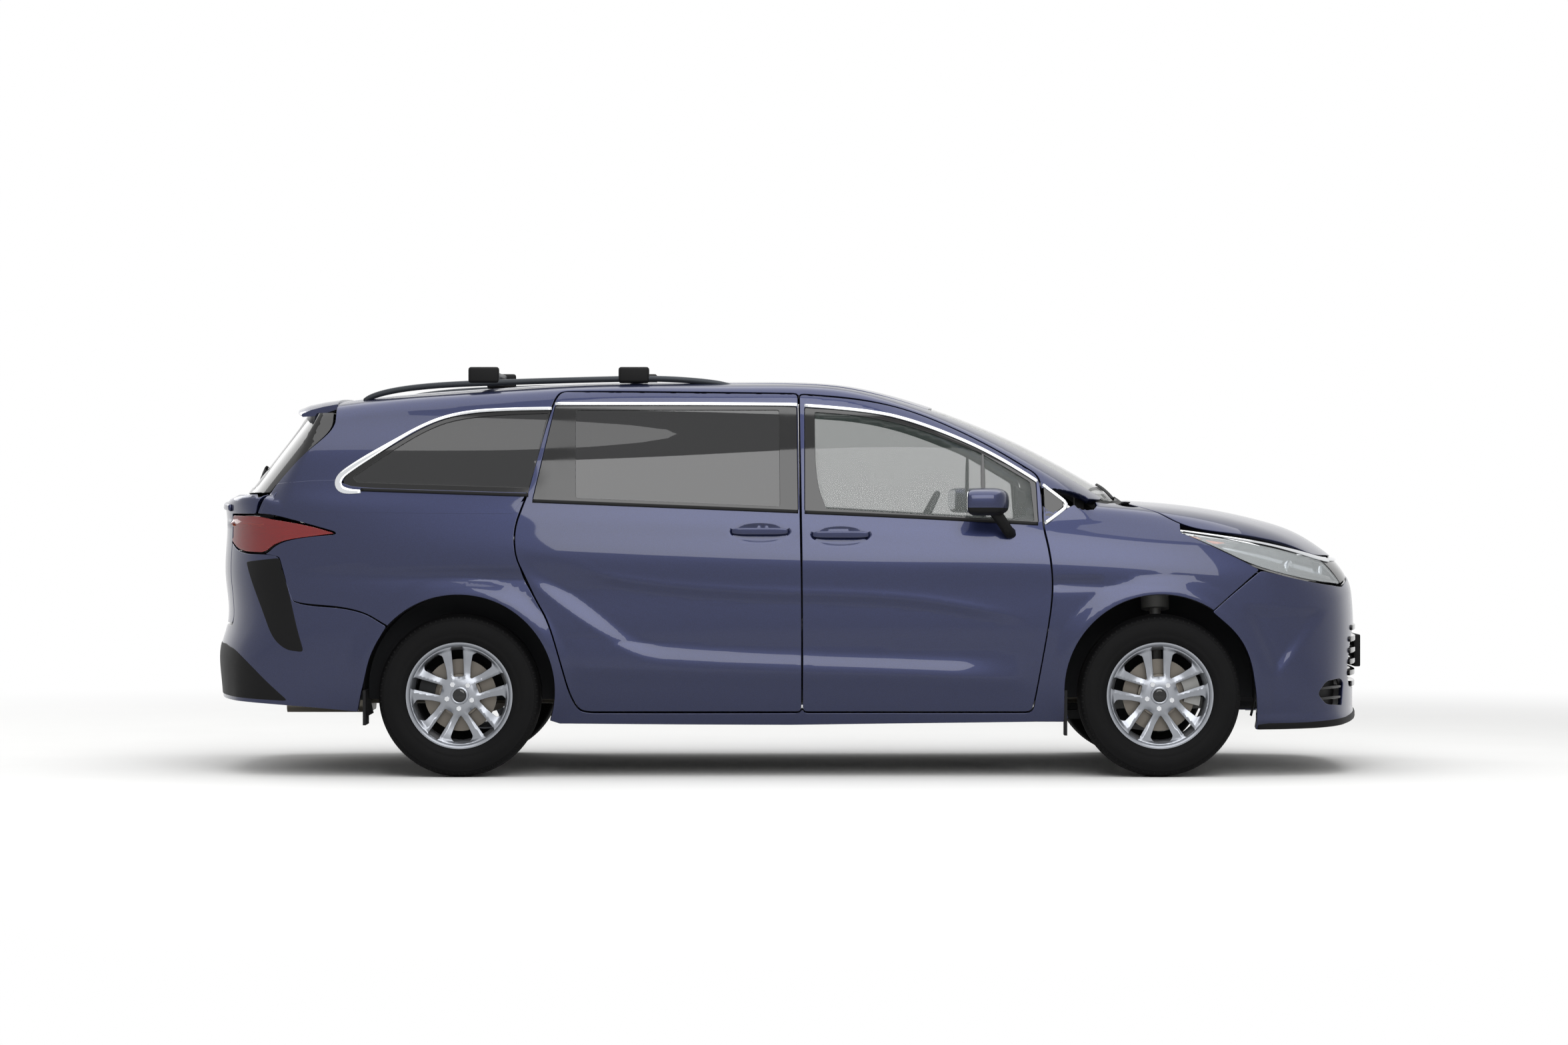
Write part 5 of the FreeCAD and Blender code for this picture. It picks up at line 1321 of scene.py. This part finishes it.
for y in np.linspace(-SPOILER_HALF, SPOILER_HALF, 65):
    draw = np.interp(abs(y), HALVES, TAIL_DRAWS) * 0.55
    thin = 1 - 0.3 * float(eased(600, SPOILER_HALF, abs(y)))
    rows.append([(x + draw * (-2000 - x) / 221, y, float(roof_line(x) - roof_drop(abs(y))) + rise * thin)
                 for x, rise in SPOILER])
spoiler = tube_of("rear_spoiler", np.array(rows), paint)
spoiler.data.set_sharp_from_angle(angle=math.radians(38))
fitted(spoiler, "tailgate", "body_paint")
fitted(strip_on("rear_wiper", plain_rear, (("b", -20, 1285), ("b", -200, 1330), ("b", -420, 1352)), 16, 12,
                black_plastic), "tailgate", "black_plastic")

# Handles, mirrors, rails and wipers
# Painted pull bars over their recesses, mirrors in enamel over black, and anodised roof rails with
# crossbars on cast towers.
for name, (x, z, body) in HANDLES.items():
    skin_y = spot_on("s", x, z)[1]
    bar = pillow(f"handle_{name}_right", (x, skin_y - 13, z), (122, 9, 15), 0.45, (paint,))
    fitted_pair(bar, body, "body_paint")
    feet = [block(f"handle_foot_{name}_{k}_right", (x + k * 108 - 10, skin_y - 10, z - 9),
                  (x + k * 108 + 10, skin_y + 22, z + 9), 3, paint) for k in (-1, 1)]
    for foot in feet:
        fitted_pair(foot, body, "body_paint")


def mirror_shape(spots, grid):
    """Full at the front, flat behind, and drawn in towards its foot."""
    spots = spots.copy()
    spots[:, 0] = np.maximum(spots[:, 0], -62)
    spots[:, 0] += spots[:, 1] * 0.22
    spots[:, 2] *= 1 - 0.12 * (grid[:, 1] < 0) * np.abs(grid[:, 1])
    return spots


mirror = pillow("mirror_shell_right", (842, -1083, 1204), (100, 80, 60), 0.6, (paint, black_plastic),
                shape=mirror_shape, kinds=lambda p: int(p[2] < 1176))
fitted_pair(mirror, door, "body_paint", "mirror_right")
face = pillow("mirror_glass_right", (777, -1084, 1206), (3, 66, 46), 0.45, (chrome,),
              shape=lambda spots, grid: spots + np.outer(spots[:, 1] * 0.22, (1, 0, 0)))
fitted_pair(face, door, "bright_trim")
foot_line = np.array([(960, -938, 1062), (948, -970, 1070), (930, -1005, 1092), (905, -1030, 1130),
                      (880, -1050, 1160)], float)
fitted_pair(bar_along("mirror_foot_right", foot_line, np.tile((0.8, -0.5, 0.3), (5, 1)), 46, 26,
                      black_plastic, sunk=10), door, "black_plastic")
# Anodised aluminium, dark and satin
rail_metal = moulded("grey_anodised_rail", "#34373b", 0.42, 0.7, 0.6)
RAIL = ((-1892, 1660), (-1860, 1690), (-1629, 1731), (-1200, 1748), (-846, 1758), (-576, 1763),
        (-350, 1746), (-250, 1724), (-222, 1706))
rail_line = np.array([(x, -640, z - 8) for x, z in open_line(RAIL, 18)])
rail = bar_along("roof_rail_right", rail_line, np.tile((0, 0, 1.0), (len(rail_line), 1)), 34, 8,
                 rail_metal, sunk=18)
fitted_pair(rail, "body", "black_plastic", "roof_rails")
for end, bar_x in (("front", -695), ("rear", -1360)):
    fitted(block(f"crossbar_{end}", (bar_x - 28, -630, 1768), (bar_x + 28, 630, 1792), 10, rail_metal, 3),
           "body", "black_plastic")
    fitted_pair(block(f"bar_tower_{end}_right", (bar_x - 68, -663, 1728), (bar_x + 68, -619, 1800), 14,
                      black_plastic, 3), "body", "black_plastic")
for hand, y0 in (("right", -560), ("left", 40)):
    blade = (("t", 1430, y0), ("t", 1395, y0 + 250), ("t", 1392, y0 + 500))
    fitted(strip_on(f"wiper_{hand}", top_view, blade, 13, 10, black_plastic, 3), "body", "black_plastic")

# Seats and cabin
# Foam cushions under dark grained leather with sewn channels, on moulded bases; a grained dashboard
# and the underbody in their own finishes.
# Pores are drawn 2.4 mm apart so that they show, over slow folds of tone
leather = blank("dark_grained_leather")
tree = leather.node_tree
where = add(tree, "ShaderNodeTexCoord").outputs["Object"]
pores = add(tree, "ShaderNodeTexVoronoi", {"Vector": where, "Scale": 420.0}, feature="DISTANCE_TO_EDGE")
fold = add(tree, "ShaderNodeTexNoise", {"Vector": where, "Scale": 26.0, "Detail": 5.0})
tone = add(tree, "ShaderNodeMix", {0: fold.outputs[0], 6: srgb("#242426"), 7: srgb("#343436")},
           data_type="RGBA")
bump = add(tree, "ShaderNodeBump", {"Height": pores.outputs[0], "Strength": 0.5, "Distance": 0.0006})
shader = add(tree, "ShaderNodeBsdfPrincipled", {"Base Color": tone.outputs[2], "Roughness": 0.5,
                                                "Normal": bump.outputs[0]})
add(tree, "ShaderNodeOutputMaterial", {"Surface": shader.outputs[0]})
dash_skin = moulded("soft_grained_dashboard", "#262629", 0.6, 1.4)


def sewn(spots, grid):
    """Sewn channels across a cushion's upper side, and sides that pull in between its corners."""
    spots = spots.copy()
    half_width = np.abs(spots[:, 1]).max()
    channel = np.abs(np.sin(np.pi * spots[:, 1] / half_width * 2.5)) ** 0.35
    spots[:, 2] -= 7 * (1 - channel) * (grid[:, 2] > 0.2)
    pull = 1 - 0.03 * (1 - np.abs(grid[:, 0]))
    spots[:, 1] *= pull
    return spots


PLACES = ((-370, 250), (370, 250))
ROWS = {"front": (420, 370, PLACES, 1.0), "middle": (-480, 370, PLACES, 1.0),
        "rear": (-1180, 490, ((-305, 290), (305, 290)), 0.95)}
for row, (front_x, floor_z, places, deep) in ROWS.items():
    for k, (y, half) in enumerate(places):
        hand = "right" if k == 0 else "left"
        start_x = front_x - 505
        base = pillow(f"seat_cushion_{row}_{hand}", (start_x + 285 * deep, y, floor_z + 236),
                      (205 * deep, half, 58), 0.42, (leather,), -4, rows=30, cols=72, shape=sewn)
        back = pillow(f"seat_back_{row}_{hand}", (start_x + 2, y, floor_z + 530), (280, half - 6, 56), 0.42,
                      (leather,), -98.5, rows=30, cols=72, shape=sewn)
        rest = pillow(f"head_rest_{row}_{hand}", (start_x - 88, y, floor_z + 905), (85, 120, 42), 0.5,
                      (leather,), -99)
        stands_for = [f"seats_{row}"] if k == 0 else []
        fitted(base, "body", "seat_leather", *stands_for)
        fitted(back, "body", "seat_leather")
        fitted(rest, "body", "seat_leather")
        fitted(block(f"seat_plinth_{row}_{hand}", (start_x + 95, y - half + 30, floor_z + 1),
                     (start_x + 430 * deep, y + half - 30, floor_z + 178), 18, black_plastic), "body",
               "interior_plastic")
# Underneath, stoved and coated steel stay dark and dull, and the exhaust is a dull bright tube
black_steel = moulded("black_stoved_steel", "#17181a", 0.5, 1.5, 0.2)
under_coat = moulded("underbody_coating", "#202124", 0.75, 1.1)
stainless = moulded("dull_stainless_tube", "#7d786f", 0.42, 1.3, 0.9)
KEPT = {"floor": under_coat, "cowl": black_plastic, "front_liners": under_coat, "front_subframe": black_steel,
        "rear_axle": black_steel, "engine": cast_metal, "fuel_tank": black_plastic, "exhaust": stainless,
        "knuckle_right": cast_metal, "knuckle_left": cast_metal, "dashboard": dash_skin,
        "steering_wheel": leather, "mud_flaps": rubber}
for name, finish in KEPT.items():
    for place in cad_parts[name].material_slots:
        place.material = finish

# Camera, floor and lights
# The camera stands where the photograph was taken from, far to the right of the car.
lens = bpy.data.cameras.new("eye")
lens.sensor_width = 36
lens.lens = 104.8
camera = bpy.data.objects.new("eye", lens)
camera.location = (-0.030, -20.87, 1.266)
camera.rotation_euler = (math.radians(90 - 0.44), 0, 0)
bpy.context.scene.collection.objects.link(camera)
bpy.context.scene.camera = camera


def rays_seen(tree):
    """A node that is 1 for rays from the camera and for those that gloss or glass turns."""
    ray = add(tree, "ShaderNodeLightPath")
    seen = add(tree, "ShaderNodeMath", {0: ray.outputs["Is Camera Ray"], 1: ray.outputs["Is Glossy Ray"]},
               operation="MAXIMUM")
    return add(tree, "ShaderNodeMath", {0: seen.outputs[0], 1: ray.outputs["Is Transmission Ray"]},
               operation="MAXIMUM")


# The floor is a pale matt sheet that keeps the car's shadow; the background is white to the eye
ground = bpy.data.meshes.new("studio_floor")
ground.from_pydata([(-60, -60, 0), (60, -60, 0), (60, 60, 0), (-60, 60, 0)], [], [(0, 1, 2, 3)])
floor = bpy.data.objects.new("studio_floor", ground)
bpy.context.scene.collection.objects.link(floor)
sheet = blank("pale_matt_floor")
tree = sheet.node_tree
where = add(tree, "ShaderNodeTexCoord").outputs["Object"]
mottle = add(tree, "ShaderNodeTexNoise", {"Vector": where, "Scale": 2.0, "Detail": 3.0})
tone = add(tree, "ShaderNodeMix", {0: mottle.outputs[0], 6: srgb("#dededd"), 7: srgb("#e2e2e1")},
           data_type="RGBA")
shader = add(tree, "ShaderNodeBsdfPrincipled", {"Base Color": tone.outputs[2], "Roughness": 0.85,
                                                "Specular IOR Level": 0.1})
away = add(tree, "ShaderNodeVectorMath", {0: where}, operation="LENGTH")
far_off = add(tree, "ShaderNodeMapRange", {"Value": away.outputs["Value"], "From Min": 4.0, "From Max": 9.0},
              interpolation_type="SMOOTHSTEP")
seen = rays_seen(tree)
share = add(tree, "ShaderNodeMath", {0: far_off.outputs[0], 1: seen.outputs[0]}, operation="MULTIPLY")
glow = add(tree, "ShaderNodeEmission", {"Color": (1, 1, 1, 1), "Strength": 1.0})
both = add(tree, "ShaderNodeMixShader", {0: share.outputs[0], 1: shader.outputs[0], 2: glow.outputs[0]})
add(tree, "ShaderNodeOutputMaterial", {"Surface": both.outputs[0]})
ground.materials.append(sheet)
world = bpy.data.worlds.new("studio")
bpy.context.scene.world = world
world.use_nodes = True
tree = world.node_tree
tree.nodes.clear()
seen = rays_seen(tree)
level = add(tree, "ShaderNodeMix", {0: seen.outputs[0], 2: 0.55, 3: 1.0})
back = add(tree, "ShaderNodeBackground", {"Color": (1, 1, 1, 1), "Strength": level.outputs[0]})
add(tree, "ShaderNodeOutputWorld", {"Surface": back.outputs[0]})
# Each lamp's place, its lean in degrees, its size in metres and its watts
LIGHTS = (("over", (0.0, -0.5, 6.5), (0, 0, 0), 9.0, 520),
          ("aside", (1.5, -9.0, 5.5), (58, 0, 8), 6.0, 420),
          ("behind", (-7.0, 6.0, 5.0), (58, 0, 210), 5.0, 180))
for name, at, lean, size, power in LIGHTS:
    lamp = bpy.data.lights.new(name, "AREA")
    lamp.size = size
    lamp.energy = power
    lit = bpy.data.objects.new(name, lamp)
    lit.location = at
    lit.rotation_euler = [math.radians(a) for a in lean]
    bpy.context.scene.collection.objects.link(lit)
bpy.context.scene.view_settings.view_transform = "Standard"
